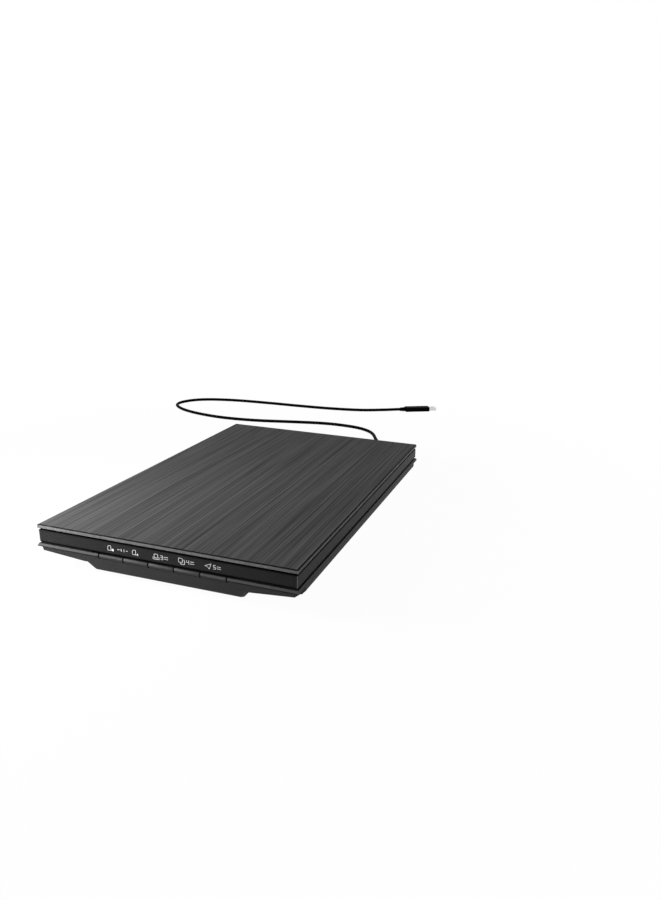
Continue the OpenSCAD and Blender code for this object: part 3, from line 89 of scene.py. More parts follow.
# %% [markdown]
# ## The data cable
# The cable is one soft round lead, 4.7 mm thick. It leaves the strain relief of the plug at the back, sinks to the
# table, makes one long flat loop to the left and ends in the plug that fits a computer. A curve with a round bevel
# would do, but a tube of rings that is built point by point keeps to the box of its solid and is ready for export. The
# points of the route are those of the solid, and a Catmull-Rom spline joins them so that no corner shows.

# %% Route of the cable
# All in millimetres, as in the solids: first the plugs at both ends, then the way between them.
case_rear, plug_gap, near_grip_l, relief_l = 183.5, 0.6, 20.0, 10.0
port_x, port_z = 68.0, 17.5
far_grip_l, far_grip_h, shell_l = 40.0, 7.2, 12.0
cable_d, cable_lift, plug_lift = 4.7, 0.15, 0.1
cable_z = cable_d / 2 + cable_lift
cable_start_y = case_rear + plug_gap + near_grip_l + relief_l
far_plug = Vector((16.0, 495.0, far_grip_h / 2 + plug_lift))
far_turn = math.radians(29)
far_dir = Vector((math.cos(far_turn), math.sin(far_turn), 0.0))
straight_end = 7.0
sinking = (
    (port_x, cable_start_y, port_z), (port_x - 0.3, cable_start_y + 9, port_z - 0.4), (66, 241, 13.5), (60, 262, 7.6),
    (50, 281, 3.9))
table_run = (
    (39, 299), (29, 318), (21, 334), (12, 346), (-1, 356), (-16, 362), (-34, 365), (-56, 366), (-80, 363), (-106, 357),
    (-136, 349), (-167, 341), (-200, 336), (-234, 335), (-264, 339), (-291, 346), (-314, 356), (-331, 368),
    (-341, 380), (-344, 394), (-340, 408), (-332, 420), (-318, 431), (-296, 440), (-258, 448), (-203, 452),
    (-148, 454), (-95, 458), (-45, 468))
rising = (-9, 483, 3)
route = [Vector(p) for p in (*sinking, *((x, y, cable_z) for x, y in table_run), rising)]
route += [far_plug - straight_end * far_dir, far_plug]


def smooth_route(points, steps):
    """Points of a Catmull-Rom curve through the given ones."""
    found = []
    last = len(points) - 1
    for i in range(last):
        a, b, c, d = (points[max(0, min(last, i + k))] for k in (-1, 0, 1, 2))
        for k in range(steps):
            t = k / steps
            found.append(0.5 * (2 * b + (c - a) * t + (2 * a - 5 * b + 4 * c - d) * t ** 2
                                + (3 * b - a - 3 * c + d) * t ** 3))
    return found + [points[last]]


cable_path = [p * MM for p in smooth_route(route, steps=6)]

# %% Cable


def new_piece(name, made, smooth=False):
    """An object from a bmesh, linked to the scene."""
    mesh = bpy.data.meshes.new(name)
    made.to_mesh(mesh)
    made.free()
    for face in mesh.polygons:
        face.use_smooth = smooth
    obj = bpy.data.objects.new(name, mesh)
    scene.collection.objects.link(obj)
    return obj


tube = bmesh.new()
cable_sides = 16
cable_turns = [2 * math.pi * (k + 0.5) / cable_sides for k in range(cable_sides)]
cable_r = cable_d / 2 * MM
rings = []
for i, place in enumerate(cable_path):
    run = (cable_path[min(i + 1, len(cable_path) - 1)] - cable_path[max(i - 1, 0)]).normalized()
    side = Vector((run.y, -run.x, 0.0)).normalized()
    lift = side.cross(run)
    rings.append([tube.verts.new(place + cable_r * (math.cos(a) * side + math.sin(a) * lift)) for a in cable_turns])
for a, b in zip(rings, rings[1:]):
    for k in range(cable_sides):
        tube.faces.new([a[k], b[k], b[(k + 1) % cable_sides], a[(k + 1) % cable_sides]])
tube.faces.new(rings[0])
tube.faces.new(rings[-1][::-1])
bmesh.ops.recalc_face_normals(tube, faces=tube.faces)
cable = new_piece("data_cable", tube, smooth=True)
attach(cable, "case")
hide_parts("usb_cable")
print("cable declared, from", [round(v, 3) for v in cable_path[0]])

# %% [markdown]
# ## Helpers for nodes
# The floor, the world and every finish are built from nodes, and the helpers place and link them. Effects that several
# finishes share are node groups, built once with named inputs and placed in each material with its own values. All the
# patterns use object coordinates: each solid sits at the origin of the model, so one metre of pattern is one metre of
# object, and the pattern moves with its piece.

# %% Place and link nodes


def grey(value, tint=(1.0, 1.0, 1.0)):
    """A grey colour, in linear light, with a slight tint."""
    return (value * tint[0], value * tint[1], value * tint[2], 1.0)


def put(tree, kind, inputs=None, **settings):
    """A new node with its input values and its settings."""
    made = tree.nodes.new(kind)
    for key, value in settings.items():
        setattr(made, key, value)
    for key, value in (inputs or {}).items():
        made.inputs[key].default_value = value
    return made


def give(tree, at, value):
    """Sets an input to a number or a colour, or links it to a socket."""
    if isinstance(value, (int, float, tuple)):
        at.default_value = value
    else:
        tree.links.new(value, at)


def feed(tree, node, **values):
    """Gives values to a node's inputs by name, with _ for a space."""
    for key, value in values.items():
        give(tree, node.inputs[key.replace("_", " ")], value)


def new_group(name, inputs, outputs):
    """An empty node group, the sockets it is given and the node that takes its results."""
    group = bpy.data.node_groups.new(name, "ShaderNodeTree")
    for label, value in inputs.items():
        kind = "NodeSocketColor" if isinstance(value, tuple) else "NodeSocketFloat"
        group.interface.new_socket(label, in_out="INPUT", socket_type=kind).default_value = value
    for label in outputs:
        kind = "NodeSocketColor" if label == "Color" else "NodeSocketFloat"
        group.interface.new_socket(label, in_out="OUTPUT", socket_type=kind)
    return group, put(group, "NodeGroupInput").outputs, put(group, "NodeGroupOutput")


print("node helpers ready")

# %% Sums, patterns and mixes


def math_node(tree, operation, first, second=None, clamp=False):
    """One sum; each side is a socket or a number."""
    made = put(tree, "ShaderNodeMath", operation=operation, use_clamp=clamp)
    give(tree, made.inputs[0], first)
    if second is not None:
        give(tree, made.inputs[1], second)
    return made.outputs[0]


def weighted(tree, first, *others):
    """The sum of values times their shares, given as pairs."""
    total = math_node(tree, "MULTIPLY", *first)
    for pair in others:
        total = math_node(tree, "ADD", total, math_node(tree, "MULTIPLY", *pair))
    return total


def wander(tree, middle, tone, tone_middle, reach):
    """A value that moves round its middle as a tone moves round its own."""
    off = math_node(tree, "SUBTRACT", tone, tone_middle)
    return math_node(tree, "ADD", middle, math_node(tree, "MULTIPLY", off, reach))


def spread(tree, value, low, high, to_low=0.0, to_high=1.0):
    """Maps low..high to to_low..to_high, clamped."""
    made = put(tree, "ShaderNodeMapRange", {"From Min": low, "From Max": high, "To Min": to_low, "To Max": to_high})
    feed(tree, made, Value=value)
    return made.outputs["Result"]


def object_place(tree):
    """Where a point is on its object, in metres."""
    return put(tree, "ShaderNodeTexCoord").outputs["Object"]


def split_xyz(tree, vector):
    """The three parts of a vector, by name."""
    made = put(tree, "ShaderNodeSeparateXYZ")
    give(tree, made.inputs[0], vector)
    return made.outputs


def stretched(tree, vector, factors):
    """A vector times three factors, each a socket or a number."""
    three = put(tree, "ShaderNodeCombineXYZ")
    for at, value in zip(three.inputs, factors):
        give(tree, at, value)
    made = put(tree, "ShaderNodeVectorMath", operation="MULTIPLY")
    give(tree, made.inputs[0], vector)
    give(tree, made.inputs[1], three.outputs[0])
    return made.outputs[0]


def noise(tree, vector, scale=1.0, detail=2.0, rough=0.5):
    """Soft noise; with a scale of 1 the vector alone sets its size."""
    made = put(tree, "ShaderNodeTexNoise", {"Scale": scale, "Detail": detail, "Roughness": rough})
    feed(tree, made, Vector=vector)
    return made.outputs["Fac"]


def blend_colour(tree, factor, first, second):
    """Mixes two colours, each a socket or a tuple."""
    made = put(tree, "ShaderNodeMix", data_type="RGBA")
    for at, value in ((0, factor), (6, first), (7, second)):
        give(tree, made.inputs[at], value)
    return made.outputs[2]


def blend_value(tree, factor, first, second):
    """Mixes two values."""
    made = put(tree, "ShaderNodeMix", data_type="FLOAT")
    for at, value in ((0, factor), (2, first), (3, second)):
        give(tree, made.inputs[at], value)
    return made.outputs[0]


print("pattern helpers ready")

# %% [markdown]
# ## The floor, the world and the lamps
# The object stands on a plain white table. The floor's own material is pale and takes the shadow. What the camera, a
# reflection or a clear piece sees of it is blended with white by the Light Path node, so the background is white
# without more light on the object. The share of white grows away from the object, so that the far floor runs into the
# white world without a horizon. One soft box stands close to the front left corner: being close, it is strong there
# and fades over the lid to the back right, as the photograph shows. A low box on the right lifts that side, and a weak
# wide one hangs above.

# %% Floor and world
scene.view_settings.view_transform = "Standard"
WHITE = (1, 1, 1, 1)


def seen_mask(tree):
    """1 for a ray from the camera, from a reflection or through glass."""
    path = put(tree, "ShaderNodeLightPath").outputs
    in_sight = math_node(tree, "MAXIMUM", path["Is Camera Ray"], path["Is Glossy Ray"])
    return math_node(tree, "MAXIMUM", in_sight, path["Is Transmission Ray"])


def two_shaders(tree, share, first, second, out):
    """Blends two shaders and leads the blend to the output."""
    mix = put(tree, "ShaderNodeMixShader")
    for at, socket in zip(mix.inputs, (share, first.outputs[0], second.outputs[0])):
        give(tree, at, socket)
    give(tree, out.inputs[0], mix.outputs[0])


def floor_material(near_share, reach):
    """Pale floor; near_share of white at the object, all white beyond the reach (metres)."""
    mat = bpy.data.materials.new("table_white")
    mat.use_nodes = True
    tree = mat.node_tree
    tree.nodes.clear()
    pale = put(tree, "ShaderNodeBsdfDiffuse", {"Color": grey(0.86)})
    white = put(tree, "ShaderNodeEmission", {"Color": WHITE})
    away = put(tree, "ShaderNodeVectorMath", operation="LENGTH")
    give(tree, away.inputs[0], object_place(tree))
    growing = spread(tree, away.outputs["Value"], *reach, near_share, 1.0)
    share = math_node(tree, "MULTIPLY", seen_mask(tree), growing)
    two_shaders(tree, share, pale, white, put(tree, "ShaderNodeOutputMaterial"))
    return mat


bpy.ops.mesh.primitive_plane_add(size=8, location=(0, 0, 0))
floor = bpy.context.object
floor.name = "table"
floor.data.materials.append(floor_material(near_share=0.97, reach=(0.28, 0.6)))

world = bpy.data.worlds.new("studio")
scene.world = world
world.use_nodes = True
tree = world.node_tree
tree.nodes.clear()
soft_light = put(tree, "ShaderNodeBackground", {"Color": (0.97, 0.985, 1, 1), "Strength": 0.16})
white_back = put(tree, "ShaderNodeBackground", {"Color": WHITE, "Strength": 1.0})
two_shaders(tree, seen_mask(tree), soft_light, white_back, put(tree, "ShaderNodeOutputWorld"))
print("floor and world are white to the camera")

# %% Lamps


def soft_box(name, place, aim_at, size, watts):
    """A rectangular lamp that the camera doesn't see."""
    data = bpy.data.lights.new(name, "AREA")
    data.shape = "RECTANGLE"
    data.size, data.size_y = size
    data.energy = watts
    lamp = bpy.data.objects.new(name, data)
    scene.collection.objects.link(lamp)
    lamp.location = place
    lamp.visible_camera = False
    lamp.rotation_euler = (Vector(aim_at) - Vector(place)).to_track_quat("-Z", "Y").to_euler()


soft_box("front_left_box", (-0.34, -0.285, 0.225), aim_at=(-0.06, -0.08, 0.03), size=(0.16, 0.16), watts=3.9)
soft_box("right_box", (0.72, 0.25, 0.3), aim_at=(0.1, 0.02, 0.02), size=(0.5, 0.2), watts=1.5)
soft_box("top_box", (-0.2, 0.3, 1.5), aim_at=(0.0, 0.1, 0.0), size=(1.4, 1.4), watts=1.0)

# %% [markdown]
# ## Moulded grain
# Injection moulded plastic carries the spark-eroded texture of its mould: a dense field of tiny pits, a few tenths of
# a millimetre wide, and slow cloudy changes of tone where the melt ran. One noise at each scale gives both.

# %% Group: moulded grain
GRAIN, given, result = new_group(
    "moulded_grain",
    {"Dark": grey(0.03), "Light": grey(0.04), "Pits per Metre": 3500.0, "Roughness": 0.5, "Roughness Spread": 0.1},
    ("Color", "Roughness", "Height"))
here = object_place(GRAIN)
pits = noise(GRAIN, stretched(GRAIN, here, [given["Pits per Metre"]] * 3), rough=0.6)
cloud = noise(GRAIN, here, scale=22.0, detail=3.0, rough=0.55)
tone = weighted(GRAIN, (cloud, 0.6), (pits, 0.4))
both_ways = math_node(GRAIN, "MULTIPLY", given["Roughness Spread"], 2.0)
feed(GRAIN, result,
     Color=blend_colour(GRAIN, spread(GRAIN, tone, 0.35, 0.65), given["Dark"], given["Light"]),
     Roughness=wander(GRAIN, given["Roughness"], tone, 0.5, both_ways),
     Height=pits)
print("group:", GRAIN.name)

# %% [markdown]
# ## Hairline
# The lid has a fine brushed look: straight dark and light lines from front to back, a third of a millimetre to a few
# millimetres wide and many centimetres long. An image could hold them, but nodes make them at any distance. The place
# across the lid is cut into narrow steps, so that each step takes its own cut through a noise: its tone changes slowly
# along the line and not at all across it. Three widths of line are added up.

# %% Group: hairline
HAIR, given, result = new_group(
    "hairline",
    {"Dark": grey(0.03), "Light": grey(0.1), "Lines per Metre": 1000.0, "Runs per Metre": 6.0, "Roughness": 0.5},
    ("Color", "Roughness", "Height"))
here_xyz = split_xyz(HAIR, object_place(HAIR))
CUT_GAP, LAYER_GAP = 3.73, 7.3  # how far apart two neighbouring lines, and two widths of line, cut the noise


def brushed(density, run_density):
    """The tone of lines that are so many times as dense and as short as the group's numbers say."""
    per_metre = math_node(HAIR, "MULTIPLY", given["Lines per Metre"], density)
    step = math_node(HAIR, "FLOOR", math_node(HAIR, "MULTIPLY", here_xyz["X"], per_metre))
    runs = math_node(HAIR, "MULTIPLY", here_xyz["Y"], given["Runs per Metre"])
    place = put(HAIR, "ShaderNodeCombineXYZ", {"Z": LAYER_GAP * density})
    feed(HAIR, place, X=math_node(HAIR, "MULTIPLY", step, CUT_GAP), Y=math_node(HAIR, "MULTIPLY", runs, run_density))
    return noise(HAIR, place.outputs[0], detail=1.0)


broad, medium, fine = brushed(0.37, 0.5), brushed(1.0, 1.0), brushed(2.9, 1.7)
tone = weighted(HAIR, (fine, 0.32), (broad, 0.04), (medium, 0.64))
feed(HAIR, result,
     Color=blend_colour(HAIR, spread(HAIR, tone, 0.34, 0.66), given["Dark"], given["Light"]),
     Roughness=wander(HAIR, given["Roughness"], fine, 0.5, 0.25),
     Height=tone)
print("group:", HAIR.name)

# %% [markdown]
# ## Rubbed edges
# Edges that hands and bags touch turn a shade lighter. The distance of a point from the outer edge of the plan is easy
# to work out from its place, and a noise breaks the line up, so the rub is uneven as on a used thing.

# %% Group: rubbed edge
RUB, given, result = new_group(
    "rubbed_edge", {"Half Width": 0.125, "Half Depth": 0.1835, "Reach": 0.002, "Amount": 0.5}, ("Mask",))
here = object_place(RUB)
here_xyz = split_xyz(RUB, here)
from_side = math_node(RUB, "SUBTRACT", given["Half Width"], math_node(RUB, "ABSOLUTE", here_xyz["X"]))
from_end = math_node(RUB, "SUBTRACT", given["Half Depth"], math_node(RUB, "ABSOLUTE", here_xyz["Y"]))
inward = math_node(RUB, "DIVIDE", math_node(RUB, "MINIMUM", from_side, from_end), given["Reach"])
near = math_node(RUB, "SUBTRACT", 1.0, inward, clamp=True)
broken = spread(RUB, noise(RUB, here, scale=260.0, detail=3.0, rough=0.6), 0.42, 0.7)
rubbed = math_node(RUB, "MULTIPLY", near, broken)
feed(RUB, result, Mask=math_node(RUB, "MULTIPLY", rubbed, given["Amount"]))
print("group:", RUB.name)

# %% [markdown]
# ## Handling haze
# Glossy plastic and glass are never evenly glossy: hands leave broad dull clouds with a fine smear in them. The group
# gives a roughness that wanders a little, so that a reflection breaks up slightly.

# %% Group: handling haze
HAZE, given, result = new_group(
    "handling_haze", {"Roughness": 0.15, "Spread": 0.08, "Clouds per Metre": 30.0}, ("Roughness", "Height"))
here = object_place(HAZE)
cloud = noise(HAZE, stretched(HAZE, here, [given["Clouds per Metre"]] * 3), detail=4.0, rough=0.6)
smear = noise(HAZE, stretched(HAZE, here, (1600.0, 260.0, 1600.0)), detail=1.0)
tone = weighted(HAZE, (cloud, 0.75), (smear, 0.25))
feed(HAZE, result, Roughness=wander(HAZE, given["Roughness"], tone, 0.45, given["Spread"]), Height=smear)
print("group:", HAZE.name)

# %% [markdown]
# ## Drawn metal
# Screws, rods, pins and plates are drawn or rolled, which leaves fine parallel lines. The group stretches a noise
# along one axis that the material chooses.

# %% Group: drawn lines
DRAWN, given, result = new_group(
    "drawn_lines",
    {"Dark": grey(0.5), "Light": grey(0.7), "Along X": 2500.0, "Along Y": 60.0, "Along Z": 2500.0, "Roughness": 0.25},
    ("Color", "Roughness", "Height"))
here = object_place(DRAWN)
lines = noise(DRAWN, stretched(DRAWN, here, [given[f"Along {axis}"] for axis in "XYZ"]), rough=0.6)
stain = noise(DRAWN, here, scale=120.0, detail=3.0)
tone = weighted(DRAWN, (lines, 0.65), (stain, 0.35))
feed(DRAWN, result,
     Color=blend_colour(DRAWN, spread(DRAWN, tone, 0.3, 0.7), given["Dark"], given["Light"]),
     Roughness=wander(DRAWN, given["Roughness"], tone, 0.5, 0.3),
     Height=lines)
print("group:", DRAWN.name)

# %% [markdown]
# ## Board traces
# A circuit board is green lacquer over copper: straight traces show as slightly paler lines, with round pads between
# them. The joints of a brick pattern give the runs, and a Voronoi pattern gives the pads.

# %% Group: board traces
TRACES, given, result = new_group(
    "board_traces", {"Lacquer": (0.01, 0.09, 0.04, 1), "Copper": (0.03, 0.2, 0.09, 1), "Scale": 260.0},
    ("Color", "Height"))
here = stretched(TRACES, object_place(TRACES), [given["Scale"]] * 3)
runs = put(TRACES, "ShaderNodeTexBrick",
           {"Scale": 1.0, "Mortar Size": 0.035, "Mortar Smooth": 0.1, "Brick Width": 1.9, "Row Height": 0.33})
pads = put(TRACES, "ShaderNodeTexVoronoi", {"Scale": 1.0, "Randomness": 0.7})
for pattern in (runs, pads):
    feed(TRACES, pattern, Vector=here)
dots = spread(TRACES, pads.outputs["Distance"], 0.16, 0.2, 1.0, 0.0)
copper = math_node(TRACES, "MAXIMUM", runs.outputs["Fac"], dots)
feed(TRACES, result, Color=blend_colour(TRACES, copper, given["Lacquer"], given["Copper"]), Height=copper)
print("group:", TRACES.name)

# %% [markdown]
# ## Finishes
# A finish is one material: a Principled shader, fed by the groups above. Numbers that are the same all over, such as
# the specular level, are set on the shader itself. The colours are mostly greys, taken as linear light.

# %% Material helpers


def finish(name, **fixed):
    """A material with its shader, and the shader's plain numbers."""
    mat = bpy.data.materials.new(name)
    mat.use_nodes = True
    shader = mat.node_tree.nodes["Principled BSDF"]
    feed(mat.node_tree, shader, **fixed)
    return mat, mat.node_tree, shader


def place_group(tree, group, **values):
    """A node group in a material; gives back its outputs."""
    made = put(tree, "ShaderNodeGroup", node_tree=group)
    feed(tree, made, **values)
    return made.outputs


def bumped(tree, shader, height, strength, distance):
    """Turns a height into the shader's normal; the distance is in metres."""
    bump = put(tree, "ShaderNodeBump", {"Strength": strength, "Distance": distance})
    feed(tree, bump, Height=height)
    feed(tree, shader, Normal=bump.outputs["Normal"])


def moulded(name, dark, light, rough, pits, relief, depth, tint=(1, 1, 1), **fixed):
    """A soft or moulded stuff with so many pits per metre; relief and depth (metres) are their bump."""
    mat, tree, shader = finish(name, **fixed)
    grain = place_group(tree, GRAIN, Dark=grey(dark, tint), Light=grey(light, tint), Pits_per_Metre=pits,
                        Roughness=rough, Roughness_Spread=0.12)
    feed(tree, shader, Base_Color=grain["Color"], Roughness=grain["Roughness"])
    bumped(tree, shader, grain["Height"], relief, depth)
    return mat


def drawn(name, dark, light, rough, along=(2500.0, 60.0, 2500.0), tint=(1, 1, 1)):
    """Drawn, rolled or turned metal; the lines run along the axis with the smallest number."""
    mat, tree, shader = finish(name, Metallic=1.0)
    lines = place_group(tree, DRAWN, Dark=grey(dark, tint), Light=grey(light, tint), Along_X=along[0],
                        Along_Y=along[1], Along_Z=along[2], Roughness=rough)
    feed(tree, shader, Base_Color=lines["Color"], Roughness=lines["Roughness"])
    bumped(tree, shader, lines["Height"], 0.2, 0.00002)
    return mat


print("material helpers ready")

# %% [markdown]
# ### Lid, band and shell
# The three dark plastics of the case differ in gloss: the lid is satin with hairlines, the band under it is nearly
# black, and the lower shell is matt. A plain edge without hairlines runs round the lid. Its paler grey is painted
# highlight, and the bevels beside it and the faces that look down are darkened as painted shade. On the band, every
# face that does not stand upright, the bezel too, is darkened as painted shade for the gaps under the lid and above the
# rim.
# A paler bevel along the rim of the shell and the keys is painted highlight, and their level faces are darkened as
# painted shade in the parting line. Upright corners are paler still, as painted highlight. Along the outer edges of the
# lid and the shell a rubbed wear is added. The object-space normal tells these faces apart: it looks up on the lid's
# top and on the bezel, halfway up on a bevel, and both sideways and to an end on a corner.

# %% Masks from the way a face looks
LEVEL = (0.9, 0.97)  # how far up a face looks that is not yet level, and one that is


def facing(tree):
    """The three parts of the way a face looks."""
    return split_xyz(tree, put(tree, "ShaderNodeTexCoord").outputs["Normal"])


def facing_up(tree, low, high):
    """0 where a face looks less than low upwards, 1 where it looks more than high."""
    return spread(tree, facing(tree)["Z"], low, high)


def facing_between(tree, low, high, soft=0.08):
    """1 where a face looks upwards by low to high."""
    over = math_node(tree, "SUBTRACT", 1.0, facing_up(tree, high - soft, high + soft))
    return math_node(tree, "MULTIPLY", facing_up(tree, low - soft, low + soft), over)


def facing_corner(tree, low=0.2, high=0.4):
    """1 on the rounded upright corners, which look both sideways and to an end."""
    way = facing(tree)
    both = math_node(tree, "ABSOLUTE", math_node(tree, "MULTIPLY", way["X"], way["Y"]))
    return spread(tree, both, low, high)


print("masks ready")

# %% Lid finish
lid_mat, tree, shader = finish("lid_hairline", Specular_IOR_Level=0.012)
hair = place_group(tree, HAIR, Dark=grey(0.029), Light=grey(0.1), Lines_per_Metre=1050.0, Runs_per_Metre=6.0,
                   Roughness=0.5)
# The upright edge takes a plain grain instead of hairlines; its paler grey is painted highlight.
edge = place_group(tree, GRAIN, Dark=grey(0.115), Light=grey(0.13), Pits_per_Metre=3200.0, Roughness=0.42,
                   Roughness_Spread=0.06)
rub = place_group(tree, RUB, Half_Width=0.1243, Half_Depth=0.1828, Reach=0.0016, Amount=0.3)
# The 0.28 grey is rubbed wear along the outer edge and painted highlight on the upright corners. The 0.01 grey is
# painted shade on the bevels beside the edge and on the faces that look down.
edge_wear_and_highlight, painted_shade_bevel = grey(0.28), grey(0.01)
upright = facing_between(tree, -0.4, 0.4)
top = facing_up(tree, *LEVEL)
# Mask of rubbed wear along the outer edge, and of painted highlight on the upright corners.
wear_and_highlight = math_node(tree, "MAXIMUM", rub["Mask"], facing_corner(tree))
edge_tone = blend_colour(tree, wear_and_highlight, edge["Color"], edge_wear_and_highlight)
rim_tone = blend_colour(tree, upright, painted_shade_bevel, edge_tone)
feed(tree, shader, Base_Color=blend_colour(tree, top, rim_tone, hair["Color"]),
     Roughness=blend_value(tree, top, edge["Roughness"], hair["Roughness"]))
bumped(tree, shader, math_node(tree, "MULTIPLY", hair["Height"], top), 0.3, 0.00004)
print("finish:", lid_mat.name)

# %% Band and panel finishes
band_mat, tree, shader = finish("band_satin", Specular_IOR_Level=0.02)
haze = place_group(tree, HAZE, Roughness=0.34, Spread=0.12, Clouds_per_Metre=35.0)
grain = place_group(tree, GRAIN, Dark=grey(0.021), Light=grey(0.027), Pits_per_Metre=2200.0, Roughness=0.55,
                    Roughness_Spread=0.1)
# The 0.2 grey is painted highlight on the upright corners. The 0.005 grey is painted shade on every face that does not
# stand upright, the bevels and the bezel, in the gaps under the lid and above the rim.
painted_corner_highlight, painted_shade_bezel = grey(0.2), grey(0.005)
upright = facing_between(tree, -0.35, 0.35)
side_tone = blend_colour(tree, facing_corner(tree), grain["Color"], painted_corner_highlight)
feed(tree, shader, Base_Color=blend_colour(tree, upright, painted_shade_bezel, side_tone),
     Roughness=blend_value(tree, upright, grain["Roughness"], haze["Roughness"]))
bumped(tree, shader, grain["Height"], 0.08, 0.00003)

panel_mat, tree, shader = finish("panel_polish", Specular_IOR_Level=0.05)
haze = place_group(tree, HAZE, Roughness=0.22, Spread=0.1, Clouds_per_Metre=40.0)
clouds = place_group(tree, GRAIN, Dark=grey(0.017), Light=grey(0.022), Pits_per_Metre=900.0, Roughness=0.2,
                     Roughness_Spread=0.05)
feed(tree, shader, Base_Color=clouds["Color"], Roughness=haze["Roughness"])
bumped(tree, shader, haze["Height"], 0.03, 0.00002)
print("finishes:", band_mat.name, panel_mat.name)

# %% Shell and key finishes


def rim_plastic(name, rough, pits, bevel=0.066, bevel_wear_and_highlight=0.1056, level=0.012):
    """Matt case plastic; painted highlight on the rim bevel and corners, rubbed wear, painted shade on level faces."""
    mat, tree, shader = finish(name, Specular_IOR_Level=0.05)
    grain = place_group(tree, GRAIN, Dark=grey(0.029), Light=grey(0.036), Pits_per_Metre=pits, Roughness=rough,
                        Roughness_Spread=0.1)
    rub = place_group(tree, RUB, Half_Width=0.125, Half_Depth=0.1835, Reach=0.0014, Amount=0.35)
    # The bevel grey is painted highlight. On the upright corners it is paler still as painted highlight, and along the
    # outer edges paler as rubbed wear. The level grey is painted shade in the parting line.
    slope = facing_between(tree, 0.35, 0.62)
    wear_and_highlight = math_node(tree, "MAXIMUM", rub["Mask"], facing_corner(tree))
    bevel_highlight_and_wear = blend_colour(tree, wear_and_highlight, grey(bevel), grey(bevel_wear_and_highlight))
    body = blend_colour(tree, facing_up(tree, *LEVEL), grain["Color"], grey(level))
    feed(tree, shader, Base_Color=blend_colour(tree, slope, body, bevel_highlight_and_wear), Roughness=grain["Roughness"])
    bumped(tree, shader, grain["Height"], 0.2, 0.00004)
    return mat


shell_mat = rim_plastic("shell_matt", rough=0.5, pits=2600.0)
key_mat = rim_plastic("key_satin", rough=0.45, pits=3200.0)
inner_mat = moulded("inner_black", 0.006, 0.010, 0.55, 2600.0, 0.25, 0.00005, Specular_IOR_Level=0.12)
print("finishes:", shell_mat.name, key_mat.name, inner_mat.name)

# %% [markdown]
# ### Rubber, vinyl, white plastics and foam
# The feet and bumpers are matt rubber, the cable and its grips are soft vinyl with a slight sheen, and the gears, rack
# and clips are white acetal, which is a little waxy. The document pad is white foam with a white sheet on it.

# %% Soft and white finishes
rubber_mat = moulded("foot_rubber", 0.010, 0.018, 0.78, 1800.0, 0.5, 0.0001)
vinyl_mat = moulded("cable_vinyl", 0.001, 0.002, 0.5, 1500.0, 0.02, 0.00001, Specular_IOR_Level=0.012)
tape_mat = moulded("black_tape", 0.010, 0.014, 0.6, 1200.0, 0.2, 0.00004)
chip_mat = moulded("chip_resin", 0.012, 0.020, 0.5, 4200.0, 0.3, 0.00004)
acetal_mat = moulded("acetal_white", 0.66, 0.74, 0.38, 1500.0, 0.1, 0.00003, tint=(1.0, 0.99, 0.94))
sheet_mat = moulded("sheet_white", 0.80, 0.86, 0.5, 2600.0, 0.12, 0.00003, tint=(1.0, 1.0, 0.985))
foam_mat = moulded("foam_white", 0.68, 0.80, 0.9, 1400.0, 0.7, 0.0002, tint=(1.0, 0.99, 0.96))
print("soft finishes:", rubber_mat.name, vinyl_mat.name, foam_mat.name)

# %% [markdown]
# ### Metals
# Bright steel for rods, pins and springs, blackened steel for the case screws, zinc for the motor can, nickel for the
# plugs, brass for the pinion and the bushes, and gold for the contacts.

# %% Metal finishes
steel_mat = drawn("steel_bright", 0.46, 0.62, 0.28)
dark_steel_mat = drawn("steel_black", 0.045, 0.09, 0.4, along=(1500.0, 1500.0, 200.0))
motor_mat = drawn("motor_zinc", 0.36, 0.48, 0.38, along=(300.0, 300.0, 2500.0))
nickel_mat = drawn("plug_nickel", 0.55, 0.68, 0.22, along=(1800.0, 1800.0, 300.0))
brass_mat = drawn("bearing_brass", 0.42, 0.6, 0.3, along=(2000.0, 200.0, 2000.0), tint=(1.0, 0.76, 0.36))
gold_mat = drawn("contact_gold", 0.55, 0.7, 0.25, along=(600.0, 600.0, 2000.0), tint=(1.0, 0.78, 0.38))
print("metals:", steel_mat.name, motor_mat.name, nickel_mat.name, brass_mat.name)

# %% [markdown]
# ### Glass and clear plastic
# The platen is float glass: clear, a trace green, and polished. It keeps a plain transmission, and only its roughness
# wanders a little with handling haze. The lens of the sensor is a row of thin glass rods, which show as soft stripes.

# %% Glass finishes


def clear(name, tint, rough, haze_spread):
    """A clear stuff with a little haze."""
    mat, tree, shader = finish(name, Transmission_Weight=1.0, IOR=1.5, Base_Color=(*tint, 1.0))
    haze = place_group(tree, HAZE, Roughness=rough, Spread=haze_spread, Clouds_per_Metre=14.0)
    feed(tree, shader, Roughness=haze["Roughness"])
    return mat


def stripes(tree, scale):
    """Soft stripes, side by side from left to right."""
    wave = put(tree, "ShaderNodeTexWave", {"Scale": scale, "Distortion": 0.0}, wave_type="BANDS", bands_direction="X")
    feed(tree, wave, Vector=object_place(tree))
    return wave.outputs["Fac"]


glass_mat = clear("platen_float_glass", (0.93, 0.985, 0.97), 0.012, 0.02)
guide_mat = clear("light_guide_clear", (0.97, 0.99, 1.0), 0.08, 0.08)
lens_mat, tree, shader = finish("rod_lens_row", Specular_IOR_Level=0.6)
rods = stripes(tree, 260.0)
feed(tree, shader, Base_Color=blend_colour(tree, rods, grey(0.03), grey(0.24, (0.9, 0.95, 1.0))),
     Roughness=spread(tree, rods, 0.0, 1.0, 0.5, 0.15))
bumped(tree, shader, rods, 0.4, 0.0002)
print("clear finishes:", glass_mat.name, guide_mat.name, lens_mat.name)

# %% [markdown]
# ### Circuit boards and flat cables
# The boards carry traces and pads. The flat cables are white film with a copper strip every two millimetres, which
# shows as a faint grey line.

